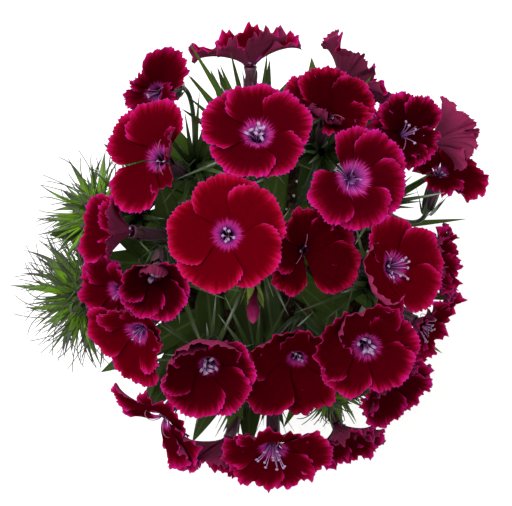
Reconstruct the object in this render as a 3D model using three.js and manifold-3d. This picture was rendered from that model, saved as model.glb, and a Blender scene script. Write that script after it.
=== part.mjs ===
// A sweet-william dianthus in a plain round plastic pot.
// Millimetres, +Z up. The origin is the centre of the pot's flat bottom.

import * as THREE from 'three';
import { mergeVertices } from 'three/addons/utils/BufferGeometryUtils.js';
import Module from 'manifold-3d';

const wasm = await Module();
wasm.setup();

const DEG = Math.PI / 180;
const UP = new THREE.Vector3(0, 0, 1);
const GOLDEN_ANGLE = Math.PI * (3 - Math.sqrt(5));

// Clearance between two pieces that rest on or in each other.
const GAP = 0.3;

// Pot and soil.
const POT = {
  height: 82,
  foot: 31,
  mouth: 43,
  wall: 1.6,
  floor: 3,
  rimHeight: 9,
  rimOut: 2.4,
  edge: 1,
  lip: 0.5,
  sides: 30,
};
const SOIL = { level: 74, swell: 2.2, crumb: 0.9, waves: [5, 3], rings: 3, sides: 22, holeSides: 5 };

// One floret: five toothed petals on the bundle of their claws, with stamens at the throat.
const PETAL = {
  count: 5,
  rootRadius: 0.8,
  widthShare: 0.61,
  widestAt: 0.75,
  clawAngle: 35 * DEG,
  widest: 56 * DEG,
  cornerDrop: 0.25,
  roundness: 2.5,
  bend: 30,
  lap: 1.15,
  ripple: 0.45,
  ripples: 2.5,
  teeth: 5,
  toothDepth: 1.5,
  halfThickness: 0.45,
  rows: [0, 0.38, 0.74, 1],
};
// Stations across each row of a petal below its toothed rim.
const PETAL_COLUMNS = [[-1, 1], [-1, 0, 1], [-1, -0.4, 0.4, 1]];
const CLAWS = { depth: 6, foot: 1.5, throat: 2.1, crown: 1.3, sides: 5 };
const STAMEN = { count: 4, ring: 0.9, radius: 0.45, rise: 6.2, spread: 2.2 };

// Green parts.
const CALYX = { length: 14, shoulder: 3, belly: 2.3, mouth: 2.5, sides: 5 };
const BRACT = { count: 2, length: 12, sunk: 2, radius: 0.75, spread: 4.6 };
const STEM = { foot: 1.7, fork: 1.3, sides: 5, steps: 4, depth: 8, knee: 0.7 };
const PEDICEL = { radius: 0.95, steps: 3, lead: 14 };
const LEAF = { halfWidth: 5.2, halfThickness: 0.42, channel: 0.2, arch: 0.42 };
// Share of the midrib's length, and the blade's half width there as a share of the widest.
const LEAF_OUTLINE = [[0, 0.15], [0.25, 0.86], [0.6, 0.92], [1, 0]];
// The three low leaves that most shoots have, written as the leaves of a shoot are, with compass
// angles counted from the shoot's own.
const LOW_LEAVES = [[0.16, 0, 50, 20], [0.36, -26, 47, 8], [0.58, -1, 42, 0]];
const AWN = { radius: 0.7, sides: 3 };
// A bristly head, in shares of its radius: its stalk's lead and end, its core's rings (place, radius)
// and the roots of its awns; then the fan of the awns, and how unevenly long they are.
const HEAD = {
  lead: 3,
  end: 1.2,
  core: [[-0.4, 0.8], [0.5, 0.8], [1, 0.3]],
  root: 0.3,
  sides: 8,
  fan: 80 * DEG,
  shortest: 0.5,
  unevenness: 5,
};

const FINISHES = {
  petal: { color: 0x9a0a30, roughness: 0.6 },
  bud: { color: 0xb01060, roughness: 0.6 },
  green: { color: 0x35502a, roughness: 0.7 },
  pot: { color: 0xe6e4de, roughness: 0.45 },
  soil: { color: 0x2c211a, roughness: 0.95 },
};

// Florets. at: throat centre; lean and toward: tilt of the axis from +Z and its compass angle from +X;
// spin: turn about its own axis; span: diameter when flat; rise: how far each petal stands up.
const BLOOMS = [
  { at: [-3.5, 40, 178], lean: 28, toward: 92, spin: 18, span: 40, rise: [10, 12, 10, 14, 10] },
  { at: [-13.5, 7, 187], lean: 4, toward: 150, spin: 26, span: 42, rise: [6, 8, 6, 8, 8] },
  { at: [28, 26, 178], lean: 16, toward: 0, spin: 42, span: 38, rise: [12, 16, 22, 16, 10] },
  { at: [41, -4, 172], lean: 26, toward: 0, spin: 20, span: 39, rise: [12, 14, 30, 36, 18] },
  { at: [33, -29.6, 172], lean: 20, toward: -75, spin: 26, span: 41, rise: [26, 28, 26, 20, 18] },
  { at: [10, -34, 161], lean: 32, toward: -95, spin: 54, span: 39, rise: [38, 30, 28, 6, 14] },
  { at: [-20, -36, 169], lean: 20, toward: -100, spin: 18, span: 40, rise: [34, 45, 38, 30, 34] },
  { at: [-38, -5, 167], lean: 20, toward: -95, spin: 20, span: 39, rise: [46, 52, 48, 42, 46] },
  { at: [-43.5, -25, 151], lean: 34, toward: 222, spin: 40, span: 42, rise: [32, 42, 8, 8, 36] },
  { at: [-36.5, 33, 157], lean: 26, toward: 150, spin: -1, span: 42, rise: [50, 18, 10, 10, 20] },
  { at: [-38.5, 57, 143], lean: 24, toward: 200, spin: 50, span: 37, rise: [20, 58, 50, 36, 44] },
  { at: [-6, 67, 142], lean: 74, toward: 90, spin: 18, span: 41, rise: [18, 30, 8, 42, 50] },
  { at: [21, 48, 160], lean: 28, toward: 70, spin: 20, span: 36, rise: [26, 24, 22, 22, 22] },
  { at: [26, 60, 138], lean: 88, toward: 56, spin: 30, span: 38, rise: [30, 38, 40, 44, 34] },
  { at: [46.8, 41.6, 156], lean: 20, toward: 20, spin: 40, span: 33, rise: [30, 20, 20, 34, 44] },
  { at: [61, 29, 130], lean: 42, toward: 75, spin: 52, span: 34, rise: [20, 22, 20, 20, 6] },
  { at: [55.5, -2, 138], lean: 70, toward: 4, spin: 30, span: 33, rise: [30, 36, 30, 28, 36] },
  { at: [52.5, -23.5, 136], lean: 76, toward: -34, spin: 20, span: 35, rise: [24, 32, 34, 36, 24] },
  { at: [40, -42, 142], lean: 60, toward: -50, spin: 40, span: 36, rise: [30, 32, 30, 30, 26] },
  { at: [2, -66, 144], lean: 42, toward: -90, spin: 54, span: 41, rise: [22, 26, 18, 12, 18] },
  { at: [25, -60, 132], lean: 66, toward: -70, spin: 20, span: 34, rise: [30, 36, 36, 30, 30] },
  { at: [-13.5, -65.4, 128], lean: 78, toward: -104, spin: 40, span: 34, rise: [30, 38, 34, 32, 30] },
  { at: [-36.6, -57, 134], lean: 60, toward: 234, spin: 54, span: 39, rise: [0, 20, 10, 20, 20] },
  { at: [-48, 8.5, 148], lean: 48, toward: 172, spin: 30, span: 38, rise: [64, 30, 14, 34, 60] },
  { at: [-52, -12, 139], lean: 44, toward: 190, spin: 30, span: 33, rise: [30, 30, 20, 20, 30] },
  { at: [12, 2, 170], lean: 12, toward: 0, spin: 27, span: 38, rise: [22, 34, 40, 28, 18] },
  { at: [57, 40, 147.5], lean: 82, toward: 20, spin: 41, span: 34, rise: [20, 40, 50, 40, 20] },
];

// Closed buds, placed as the florets are; their petals show as a furled tip.
const BUDS = [{ name: 'bud_middle', at: [-5, -16, 160], lean: 62, toward: -90 }];
const FURL = { foot: 1.5, belly: 2.1, bellyAt: 3, tip: 8, sides: 6 };

// Shoots. foot: where the stem enters the soil; fork: where the flower stalks part; carries: the numbers
// of its florets, from 1; buds: those of its buds; low: compass angle of its low leaves;
// leaves: [share of the stem's height, compass angle, length, droop of the tip, breadth];
// heads: bristly heads of unopened buds, with the way they face, the radius of the green core, and how
// many awns reach how far.
const SHOOTS = [
  {
    name: 'shoot_middle',
    foot: [-2, 2],
    fork: [-3, 1, 138],
    carries: [2, 26],
    buds: [1],
    leaves: [
      [0.5, 77, 40, 8], [0.66, 37, 36, 2], [0.5, -2, 40, 8], [0.66, -40, 38, 2], [0.5, -82, 40, 6],
      [0.6, -121, 25, 4], [0.5, -157, 34, 8], [0.66, 161, 34, 4], [0.5, 117, 32, 8],
    ],
  },
  {
    name: 'shoot_back',
    foot: [-3, 22],
    fork: [-4, 38, 132],
    carries: [1, 12],
    low: 111,
    leaves: [
      [0.8, 70, 30, -4], [0.9, 112, 34, -8, 0.26], [0.95, 132, 36, -4, 0.26], [0.86, 146, 32, 0, 0.26],
    ],
  },
  {
    name: 'shoot_back_right',
    foot: [12, 18],
    fork: [19, 36, 130],
    carries: [3, 13, 14],
    low: 69,
    leaves: [[0.92, 98, 32, -2, 0.6]],
  },
  { name: 'shoot_right', foot: [24, 8], fork: [39, 18, 122], carries: [15, 16, 27], low: 31 },
  { name: 'shoot_front_right', foot: [23, -9], fork: [36, -10, 124], carries: [4, 17, 18], low: -8 },
  {
    name: 'shoot_front',
    foot: [12, -21],
    fork: [24, -32, 122],
    carries: [5, 19, 21],
    low: -47,
    leaves: [[0.82, 75, 26, -6]],
    heads: [{ at: [22, -46, 145], lean: 62, toward: -78, radius: 3.5, awns: 10, reach: 13 }],
  },
  {
    name: 'shoot_front_left',
    foot: [-6, -24],
    fork: [-4, -38, 122],
    carries: [6, 20],
    low: -91,
    leaves: [[0.85, 100, 26, -8]],
  },
  {
    name: 'shoot_low_left',
    foot: [-19, -17],
    fork: [-20, -36, 124],
    carries: [7, 22, 23],
    low: -125,
    leaves: [[0.82, 95, 24, -6]],
  },
  {
    name: 'shoot_left',
    foot: [-24, -2],
    fork: [-32, -8, 124],
    carries: [8, 9, 24, 25],
    leaves: [[0.3, 180, 48, 14]],
  },
  {
    name: 'shoot_back_left',
    foot: [-17, 16],
    fork: [-26, 32, 122],
    carries: [10, 11],
    low: 150,
    leaves: [[0.8, 60, 28, -4]],
  },
  {
    name: 'shoot_bristly_left',
    foot: [-28, -9],
    fork: [-46, -12, 98],
    leaves: [[0.6, 215, 40, 14]],
    heads: [{ at: [-65, -14, 108], lean: 66, toward: 200, radius: 7, awns: 37, reach: 22 }],
  },
  {
    name: 'shoot_bristly_back',
    foot: [-28, 7],
    fork: [-46, 14, 104],
    leaves: [[0.7, 165, 34, 2], [0.95, 190, 34, -2, 1.25], [0.9, 10, 28, -4]],
    heads: [{ at: [-61, 15, 118], lean: 66, toward: 150, radius: 5, awns: 18, reach: 20 }],
  },
];

// --- solids ---------------------------------------------------------------------------------------

function fromThree(geometry) {
  geometry.deleteAttribute('normal');
  geometry.deleteAttribute('uv');
  const merged = mergeVertices(geometry, 1e-4);
  const vertProperties = new Float32Array(merged.getAttribute('position').array);
  const triVerts = new Uint32Array(merged.getIndex().array);
  return new wasm.Manifold(new wasm.Mesh({ numProp: 3, vertProperties, triVerts }));
}

function signedVolume(points, faces) {
  return faces.reduce((sum, [a, b, c]) => sum + points[a].dot(points[b].clone().cross(points[c])), 0);
}

function solid(points, faces) {
  const outward = signedVolume(points, faces) > 0;
  const triVerts = new Uint32Array(faces.flatMap(([a, b, c]) => (outward ? [a, b, c] : [a, c, b])));
  const vertProperties = new Float32Array(points.flatMap((point) => point.toArray()));
  return new wasm.Manifold(new wasm.Mesh({ numProp: 3, vertProperties, triVerts }));
}

// A closed skin over rings of points; an end ring of one point is a tip, any other end is capped.
function loft(rings) {
  const points = rings.flat();
  const starts = rings.map((ring, i) => rings.slice(0, i).reduce((sum, earlier) => sum + earlier.length, 0));
  const faces = [];
  for (let i = 0; i + 1 < rings.length; i += 1) {
    const sides = Math.max(rings[i].length, rings[i + 1].length);
    for (let k = 0; k < sides; k += 1) {
      const next = (k + 1) % sides;
      const low = rings[i].length === 1 ? [starts[i]] : [starts[i] + k, starts[i] + next];
      const high = rings[i + 1].length === 1 ? [starts[i + 1]] : [starts[i + 1] + k, starts[i + 1] + next];
      if (low.length === 2) {
        faces.push([low[0], low[1], high[0]]);
      }
      if (high.length === 2) {
        faces.push([low[low.length - 1], high[1], high[0]]);
      }
    }
  }
  const last = rings.length - 1;
  for (let k = 1; k + 1 < rings[0].length; k += 1) {
    faces.push([starts[0], starts[0] + k + 1, starts[0] + k]);
  }
  for (let k = 1; k + 1 < rings[last].length; k += 1) {
    faces.push([starts[last], starts[last] + k, starts[last] + k + 1]);
  }
  return solid(points, faces);
}

// A round bar of changing radius along a path; radius 0 makes a tip.
function bar(path, radii, sides) {
  const normal = new THREE.Vector3(1, 0, 0);
  const rings = path.map((point, i) => {
    const [before, after] = [path[Math.max(i - 1, 0)], path[Math.min(i + 1, path.length - 1)]];
    const tangent = after.clone().sub(before).normalize();
    normal.addScaledVector(tangent, -normal.dot(tangent)).normalize();
    const binormal = tangent.clone().cross(normal);
    if (radii[i] === 0) {
      return [point.clone()];
    }
    return Array.from({ length: sides }, (_, k) => {
      const angle = (k / sides) * 2 * Math.PI;
      const spoke = normal.clone().multiplyScalar(Math.cos(angle)).addScaledVector(binormal, Math.sin(angle));
      return point.clone().addScaledVector(spoke, radii[i]);
    });
  });
  return loft(rings);
}

function fused(pieces) {
  return pieces.reduce((sum, piece) => sum.add(piece));
}

function node(name, shape, finish) {
  const { vertProperties, triVerts } = shape.getMesh();
  const geometry = new THREE.BufferGeometry();
  geometry.setAttribute('position', new THREE.BufferAttribute(new Float32Array(vertProperties), 3));
  geometry.setIndex(new THREE.BufferAttribute(new Uint32Array(triVerts), 1));
  geometry.computeVertexNormals();
  const mesh = new THREE.Mesh(geometry, new THREE.MeshStandardMaterial({ ...finish, metalness: 0 }));
  mesh.name = name;
  return mesh;
}

// --- floret ---------------------------------------------------------------------------------------

// How far the petals stand up at one compass angle, eased from each petal to the next.
function riseAt(bloom, angle) {
  const place = THREE.MathUtils.euclideanModulo(angle / (2 * Math.PI / PETAL.count), PETAL.count);
  const index = Math.floor(place);
  const share = THREE.MathUtils.smoothstep(place - index, 0, 1);
  return THREE.MathUtils.lerp(bloom.rise[index], bloom.rise[(index + 1) % PETAL.count], share) * DEG;
}

// A point of petal number k: u runs from claw to rim, v from edge to edge, side is 1 on the face
// and -1 on the back. Each petal is a patch of one dished disc, tilted so that it laps the next.
function petalPoint(bloom, k, u, v, side) {
  const length = bloom.span / 2 - PETAL.rootRadius;
  const tooth = u === 1 && Math.round((v + 1) * PETAL.teeth) % 2 === 0 ? PETAL.toothDepth : 0;
  const reach = u * (length * (1 - PETAL.cornerDrop * Math.abs(v) ** PETAL.roundness) - tooth);
  const middle = (2 * Math.PI * k) / PETAL.count;
  const rimRadius = PETAL.rootRadius + PETAL.widestAt * length * Math.cos(bloom.rise[k] * DEG);
  const rimAngle = Math.min((PETAL.widthShare * length) / rimRadius, PETAL.widest);
  const spread = THREE.MathUtils.clamp((u - PETAL.rows[1]) / (1 - PETAL.rows[1]), 0, 1);
  const angle = middle + v * THREE.MathUtils.lerp(PETAL.clawAngle, rimAngle, spread);
  const start = riseAt(bloom, angle) + (PETAL.bend / 2) * DEG;
  const turn = -PETAL.bend * DEG;
  const slope = start + (turn * reach) / length;
  const radius = PETAL.rootRadius + (length / turn) * (Math.sin(slope) - Math.sin(start));
  const height = (length / turn) * (Math.cos(start) - Math.cos(slope));
  const onEdge = u === 0 || u === 1 || Math.abs(v) === 1;
  const ripple = PETAL.ripple * Math.sin(PETAL.ripples * Math.PI * v + k) * u ** 3;
  const off = PETAL.lap * v * (1 - (1 - u) ** 3) + ripple + (onEdge ? 0 : side * PETAL.halfThickness);
  const outward = radius - Math.sin(slope) * off;
  const up = height + Math.cos(slope) * off;
  return new THREE.Vector3(outward * Math.cos(angle), outward * Math.sin(angle), up);
}

// A closed petal: both faces share the outline and are split into triangles alike.
function petal(bloom, k) {
  const rim = Array.from({ length: 2 * PETAL.teeth + 1 }, (_, i) => -1 + i / PETAL.teeth);
  const columns = [...PETAL_COLUMNS, rim];
  const points = [];
  const onEdge = [];
  const index = columns.map((row, r) => row.map((v) => {
    const edge = r === 0 || r === columns.length - 1 || Math.abs(v) === 1;
    points.push(petalPoint(bloom, k, PETAL.rows[r], v, 1));
    onEdge.push(edge);
    if (!edge) {
      points.push(petalPoint(bloom, k, PETAL.rows[r], v, -1));
      onEdge.push(edge);
    }
    return points.length - (edge ? 1 : 2);
  }));
  const back = (vertex) => (onEdge[vertex] ? vertex : vertex + 1);
  const faces = [];
  for (let r = 0; r + 1 < columns.length; r += 1) {
    let i = 0;
    let j = 0;
    while (i + 1 < columns[r].length || j + 1 < columns[r + 1].length) {
      const [here, there] = [index[r], index[r + 1]];
      const flat = onEdge[here[i]] && onEdge[there[j]] && onEdge[there[j + 1]];
      const behind = i + 1 === columns[r].length || columns[r + 1][j + 1] <= columns[r][i + 1];
      const stepHigh = j + 1 < columns[r + 1].length && behind && !(flat && i + 1 < columns[r].length);
      const third = stepHigh ? there[j + 1] : here[i + 1];
      faces.push([here[i], there[j], third]);
      faces.push([back(here[i]), back(third), back(there[j])]);
      if (stepHigh) {
        j += 1;
      } else {
        i += 1;
      }
    }
  }
  return solid(points, faces);
}

function stamen(k) {
  const angle = ((k + 0.5) / STAMEN.count) * 2 * Math.PI;
  const at = (radius, z) => new THREE.Vector3(radius * Math.cos(angle), radius * Math.sin(angle), z);
  return bar([at(STAMEN.ring, 0), at(STAMEN.spread, STAMEN.rise)], [STAMEN.radius, 0], AWN.sides);
}

// The turn that lays a floret's own axis along its facing direction.
function facing(bloom) {
  const hinge = new THREE.Vector3(-Math.sin(bloom.toward * DEG), Math.cos(bloom.toward * DEG), 0);
  return new THREE.Quaternion().setFromAxisAngle(hinge, bloom.lean * DEG);
}

function bloomNode(bloom, index) {
  const claws = bar(
    [-CLAWS.depth, 0, CLAWS.crown].map((z) => new THREE.Vector3(0, 0, z)),
    [CLAWS.foot, CLAWS.throat, 0],
    CLAWS.sides,
  );
  const petals = Array.from({ length: PETAL.count }, (_, k) => petal(bloom, k));
  const stamens = Array.from({ length: STAMEN.count }, (_, k) => stamen(k));
  const name = `bloom_${String(index + 1).padStart(2, '0')}`;
  const mesh = node(name, fused([claws, ...petals, ...stamens]), FINISHES.petal);
  mesh.position.fromArray(bloom.at);
  const spin = new THREE.Quaternion().setFromAxisAngle(UP, bloom.spin * DEG);
  mesh.quaternion.copy(facing(bloom)).multiply(spin);
  return mesh;
}

// --- shoots ---------------------------------------------------------------------------------------

function axisOf(bloom) {
  return UP.clone().applyQuaternion(facing(bloom));
}

// The stalk and calyx in one bar, with the awned bracts round the calyx, that carry one floret or bud.
function flowerStalk(fork, bloom) {
  const axis = axisOf(bloom);
  const throat = new THREE.Vector3().fromArray(bloom.at);
  const along = (back) => throat.clone().addScaledVector(axis, -back);
  const mouth = CLAWS.depth + GAP;
  const foot = mouth + CALYX.length;
  const curve = new THREE.QuadraticBezierCurve3(fork, along(foot + PEDICEL.lead), along(foot));
  const stalk = curve.getPoints(PEDICEL.steps);
  const calyx = [foot - CALYX.shoulder, mouth].map(along);
  const radii = [...stalk.map(() => PEDICEL.radius), CALYX.belly, CALYX.mouth];
  const side = new THREE.Vector3(1, 0, 0).applyQuaternion(facing(bloom));
  const bracts = Array.from({ length: BRACT.count }, (_, k) => {
    const spoke = side.clone().applyAxisAngle(axis, (k / BRACT.count) * 2 * Math.PI);
    const tip = along(foot - BRACT.length).addScaledVector(spoke, BRACT.spread);
    return bar([along(foot - BRACT.sunk), tip], [BRACT.radius, 0], AWN.sides);
  });
  return [bar([...stalk, ...calyx], radii, CALYX.sides), ...bracts];
}

function stemPath(foot, fork) {
  const base = new THREE.Vector3(foot[0], foot[1], SOIL.level - STEM.depth + GAP);
  const top = new THREE.Vector3().fromArray(fork);
  const knee = new THREE.Vector3(foot[0], foot[1], THREE.MathUtils.lerp(base.z, top.z, STEM.knee));
  return new THREE.QuadraticBezierCurve3(base, knee, top);
}

function stem(curve) {
  const path = curve.getPoints(STEM.steps);
  const radii = path.map((_, i) => THREE.MathUtils.lerp(STEM.foot, STEM.fork, i / STEM.steps));
  return bar(path, radii, STEM.sides);
}

// A lance-shaped blade, channelled along its middle, that arches out from a stem and droops at its tip.
function leaf(curve, [share, toward, length, droop, breadth = 1]) {
  const root = curve.getPoint(share);
  const out = new THREE.Vector3(Math.cos(toward * DEG), Math.sin(toward * DEG), 0);
  const across = new THREE.Vector3(-out.y, out.x, 0);
  const knee = root.clone().addScaledVector(out, length / 2).addScaledVector(UP, LEAF.arch * length);
  const tip = root.clone().addScaledVector(out, length).addScaledVector(UP, LEAF.arch * length - droop);
  const midrib = new THREE.QuadraticBezierCurve3(root, knee, tip);
  const thick = LEAF.halfThickness;
  const rings = LEAF_OUTLINE.map(([t, width]) => {
    const centre = midrib.getPoint(t);
    if (width === 0) {
      return [centre];
    }
    const normal = midrib.getTangent(t).cross(across);
    const half = LEAF.halfWidth * breadth * width;
    const place = (w, h) => centre.clone().addScaledVector(across, w).addScaledVector(normal, h);
    const raised = LEAF.channel * half;
    return [place(-half, raised), place(0, thick), place(half, raised), place(0, -thick)];
  });
  return loft(rings);
}

// A green core bristling with awns that fan out round the way it faces, on a stalk of its own.
function bristlyHead(fork, head) {
  const centre = new THREE.Vector3().fromArray(head.at);
  const axis = axisOf(head);
  const along = (share) => centre.clone().addScaledVector(axis, share * head.radius);
  const lead = new THREE.QuadraticBezierCurve3(fork, along(-HEAD.lead), along(-HEAD.end));
  const stalk = lead.getPoints(PEDICEL.steps);
  const core = bar(
    [...stalk, ...HEAD.core.map(([place]) => along(place))],
    [...stalk.map(() => STEM.fork), ...HEAD.core.map(([, radius]) => radius * head.radius)],
    HEAD.sides,
  );
  const awns = Array.from({ length: head.awns }, (_, k) => {
    const tilt = HEAD.fan * Math.sqrt((k + 0.5) / head.awns);
    const way = new THREE.Vector3().setFromSphericalCoords(1, tilt, k * GOLDEN_ANGLE);
    way.set(way.z, way.x, way.y).applyQuaternion(facing(head));
    const share = THREE.MathUtils.lerp(HEAD.shortest, 1, (1 + Math.cos(HEAD.unevenness * k)) / 2);
    const ends = [head.radius * HEAD.root, head.radius + head.reach * share];
    const path = ends.map((distance) => centre.clone().addScaledVector(way, distance));
    return bar(path, [AWN.radius, 0], AWN.sides);
  });
  return [core, ...awns];
}

function shootNode(shoot) {
  const { name, low, carries = [], buds = [], heads = [], leaves = [] } = shoot;
  const curve = stemPath(shoot.foot, shoot.fork);
  const fork = curve.getPoint(1);
  const flowers = [...carries.map((number) => BLOOMS[number - 1]), ...buds.map((number) => BUDS[number - 1])];
  const skirt = low === undefined
    ? []
    : LOW_LEAVES.map(([share, turn, ...rest]) => [share, low + turn, ...rest]);
  const pieces = [
    stem(curve),
    ...flowers.flatMap((flower) => flowerStalk(fork, flower)),
    ...heads.flatMap((head) => bristlyHead(fork, head)),
    ...[...skirt, ...leaves].map((placing) => leaf(curve, placing)),
  ];
  return node(name, fused(pieces), FINISHES.green);
}

function budNode(bud) {
  const furl = bar(
    [-CLAWS.depth, 0, FURL.bellyAt, FURL.tip].map((z) => new THREE.Vector3(0, 0, z)),
    [FURL.foot, FURL.foot, FURL.belly, 0],
    FURL.sides,
  );
  const mesh = node(bud.name, furl, FINISHES.bud);
  mesh.position.fromArray(bud.at);
  mesh.quaternion.copy(facing(bud));
  return mesh;
}

// --- pot and soil ---------------------------------------------------------------------------------

function lathe(profile, sides) {
  const outline = profile.map(([r, z]) => new THREE.Vector2(r, z));
  return fromThree(new THREE.LatheGeometry(outline, sides).rotateX(Math.PI / 2));
}

// Radius of the outside of the pot's tapered wall at a height.
function potRadius(z) {
  return THREE.MathUtils.lerp(POT.foot, POT.mouth, z / POT.height);
}

function potNode() {
  const { height, wall, floor, edge, lip, rimOut } = POT;
  const under = height - POT.rimHeight;
  const rim = potRadius(height) + rimOut;
  const profile = [
    [0, 0],
    [potRadius(0) - edge, 0],
    [potRadius(edge), edge],
    [potRadius(under), under],
    [potRadius(under) + rimOut, under + edge],
    [rim, height - edge],
    [rim - edge, height],
    [potRadius(height) - wall + lip, height],
    [potRadius(floor) - wall, floor],
    [0, floor],
  ];
  return node('pot', lathe(profile, POT.sides), FINISHES.pot);
}

function ringOf(radius, heightAt) {
  return Array.from({ length: SOIL.sides }, (_, k) => {
    const angle = (k / SOIL.sides) * 2 * Math.PI;
    return new THREE.Vector3(radius * Math.sin(angle), -radius * Math.cos(angle), heightAt(angle));
  });
}

// Soil: a plug just clear of the wall, mounded at the centre, with crumbs as a wave in both directions,
// and a plain hole for each stem.
function soilNode() {
  const inscribed = Math.cos(Math.PI / POT.sides);
  const reach = (z) => (potRadius(z) - POT.wall) * inscribed - GAP;
  const bottom = POT.floor + GAP;
  const [coarse, fine] = SOIL.waves;
  const surface = Array.from({ length: SOIL.rings }, (_, i) => {
    const share = 1 - i / SOIL.rings;
    const crumb = i > 0 ? SOIL.crumb : 0;
    const mound = SOIL.level + SOIL.swell * (1 - share ** 2);
    const wave = (angle) => Math.sin(coarse * angle + 2 * i) * Math.cos(fine * angle - i);
    return ringOf(reach(SOIL.level) * share, (angle) => mound + crumb * wave(angle));
  });
  const peak = new THREE.Vector3(0, 0, SOIL.level + SOIL.swell);
  const plug = loft([ringOf(reach(bottom), () => bottom), ...surface, [peak]]);
  const holes = SHOOTS.map(({ foot: [x, y] }) => {
    const span = [SOIL.level - STEM.depth, SOIL.level + 2 * SOIL.swell];
    const ends = span.map((z) => new THREE.Vector3(x, y, z));
    const clear = (STEM.foot + 3 * GAP) / Math.cos(Math.PI / SOIL.holeSides);
    return bar(ends, [clear, clear], SOIL.holeSides);
  });
  return node('soil', plug.subtract(fused(holes)), FINISHES.soil);
}

const group = new THREE.Group();
group.add(potNode(), soilNode());
group.add(...BLOOMS.map(bloomNode), ...BUDS.map(budNode), ...SHOOTS.map(shootNode));

export default group;
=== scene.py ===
"""A potted sweet-william dianthus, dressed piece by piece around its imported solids.

Lengths are millimetres and angles degrees until a mesh is made, which is in metres. +Z is up, +Y is the
back of the plant, and the origin is the centre of the pot's flat underside.
"""

import logging
from dataclasses import dataclass, replace
from enum import Enum
from functools import cache
from typing import ClassVar, Optional, Sequence, Union

import bpy
import numpy as np
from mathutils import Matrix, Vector


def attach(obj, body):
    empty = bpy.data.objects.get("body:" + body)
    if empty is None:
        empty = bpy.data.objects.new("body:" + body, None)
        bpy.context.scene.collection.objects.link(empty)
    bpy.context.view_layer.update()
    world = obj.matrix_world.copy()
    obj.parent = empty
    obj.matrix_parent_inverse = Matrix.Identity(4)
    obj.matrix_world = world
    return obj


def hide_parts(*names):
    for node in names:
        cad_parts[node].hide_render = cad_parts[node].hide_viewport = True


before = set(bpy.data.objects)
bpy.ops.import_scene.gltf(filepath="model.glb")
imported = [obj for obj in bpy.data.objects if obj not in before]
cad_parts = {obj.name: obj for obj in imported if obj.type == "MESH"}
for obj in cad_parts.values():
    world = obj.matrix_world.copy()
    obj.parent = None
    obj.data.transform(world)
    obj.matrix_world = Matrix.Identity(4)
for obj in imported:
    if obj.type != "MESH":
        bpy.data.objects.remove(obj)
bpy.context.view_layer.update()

LOG = logging.getLogger("dianthus")
MM = 0.001
SEED = 404
GOLDEN_ANGLE = np.pi * (3 - np.sqrt(5))
TURN = 2 * np.pi
UP = np.array([0.0, 0.0, 1.0])
SEAT = 0.3  # gap between a part and what it is seated in

Socket = bpy.types.NodeSocket
Value = Union[Socket, float, Sequence[float]]
Stops = tuple[tuple[float, str], ...]
Five = tuple[float, float, float, float, float]
Mood = Union[float, np.ndarray]
Chance = np.random.Generator


class Dress(Enum):
    """What a face is made of; the value names its finish."""

    PETAL_FACE = "petal_face"
    PETAL_BACK = "petal_back"
    CLAW = "petal_claw"
    FILAMENT = "filament"
    ANTHER = "anther"
    STYLE = "style"
    FURL = "furled_petal"
    CALYX = "calyx"
    STEM = "stem"
    LEAF_FACE = "leaf_face"
    LEAF_BACK = "leaf_back"
    AWN = "awned_bract"
    BRISTLE = "bristly_head"
    BUD_BRACT = "bud_bract"
    BUD_CALYX = "bud_calyx"
    # Bract whose pale tips are partly its own glaucous colour and partly painted highlight.
    TUFT = "pale_tip_and_painted_glint_bract"
    POT = "pot_wall"
    SOIL = "soil_surface"
    CRUMB = "soil_crumb"
    GRIT = "white_grit"
    FLOOR = "studio_floor"


class Stage(Enum):
    """How far a floret has opened, by what shows at its throat."""

    YOUNG = "dark throat, anthers just showing"
    OPEN = "anthers standing in a loose ring"
    RAYED = "short filaments lying out over a broad eye"
    SHEDDING = "long stamens leaning out"
    STYLED = "two curled styles"


DRESSES = list(Dress)


# --- numbers and directions -------------------------------------------------------------------------


def smooth(t: np.ndarray) -> np.ndarray:
    """Eases a share from 0 to 1, held at both ends: 3t^2 - 2t^3."""
    t = np.clip(t, 0, 1)
    return t * t * (3 - 2 * t)


def late(t: np.ndarray, start: float) -> np.ndarray:
    """Eases a share from 0, where it is held up to a start, to 1."""
    return smooth((t - start) / (1 - start))


def mix(a: np.ndarray, b: np.ndarray, t: np.ndarray) -> np.ndarray:
    """The point at share t of the way from a to b."""
    return a + (b - a) * t


def unit(vectors: np.ndarray) -> np.ndarray:
    """Vectors along the last axis, scaled to length 1."""
    return vectors / np.maximum(np.linalg.norm(vectors, axis=-1, keepdims=True), 1e-9)


def compass(degrees: Union[float, np.ndarray]) -> np.ndarray:
    """Level unit vectors at compass angles counted from +X."""
    angle = np.radians(np.asarray(degrees, float))
    return np.stack([np.cos(angle), np.sin(angle), np.zeros_like(angle)], -1)


def beside(out: np.ndarray) -> np.ndarray:
    """Level directions turned by a quarter to the left."""
    return np.stack([-out[:, 1], out[:, 0], out[:, 2]], -1)


def spiral(count: int) -> np.ndarray:
    """Compass angles that follow each other at the golden angle."""
    return np.degrees(GOLDEN_ANGLE * np.arange(count))


def turned(axis: np.ndarray, degrees: float) -> np.ndarray:
    """The 3 by 3 turn about a unit axis, by Rodrigues' formula.

    Args:
        axis: Unit vector to turn about.
        degrees: Angle, counter-clockwise as seen against the axis.

    Returns:
        The matrix that turns column vectors.
    """
    x, y, z = axis
    cross = np.array([[0, -z, y], [z, 0, -x], [-y, x, 0]])
    angle = np.radians(degrees)
    return np.eye(3) + np.sin(angle) * cross + (1 - np.cos(angle)) * cross @ cross


class Leaning:
    """Something whose axis leans from +Z, towards a compass angle."""

    lean: float
    toward: float

    def facing(self) -> np.ndarray:
        """The turn that lays +Z along its axis."""
        return turned(compass(self.toward + 90), self.lean)


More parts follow.
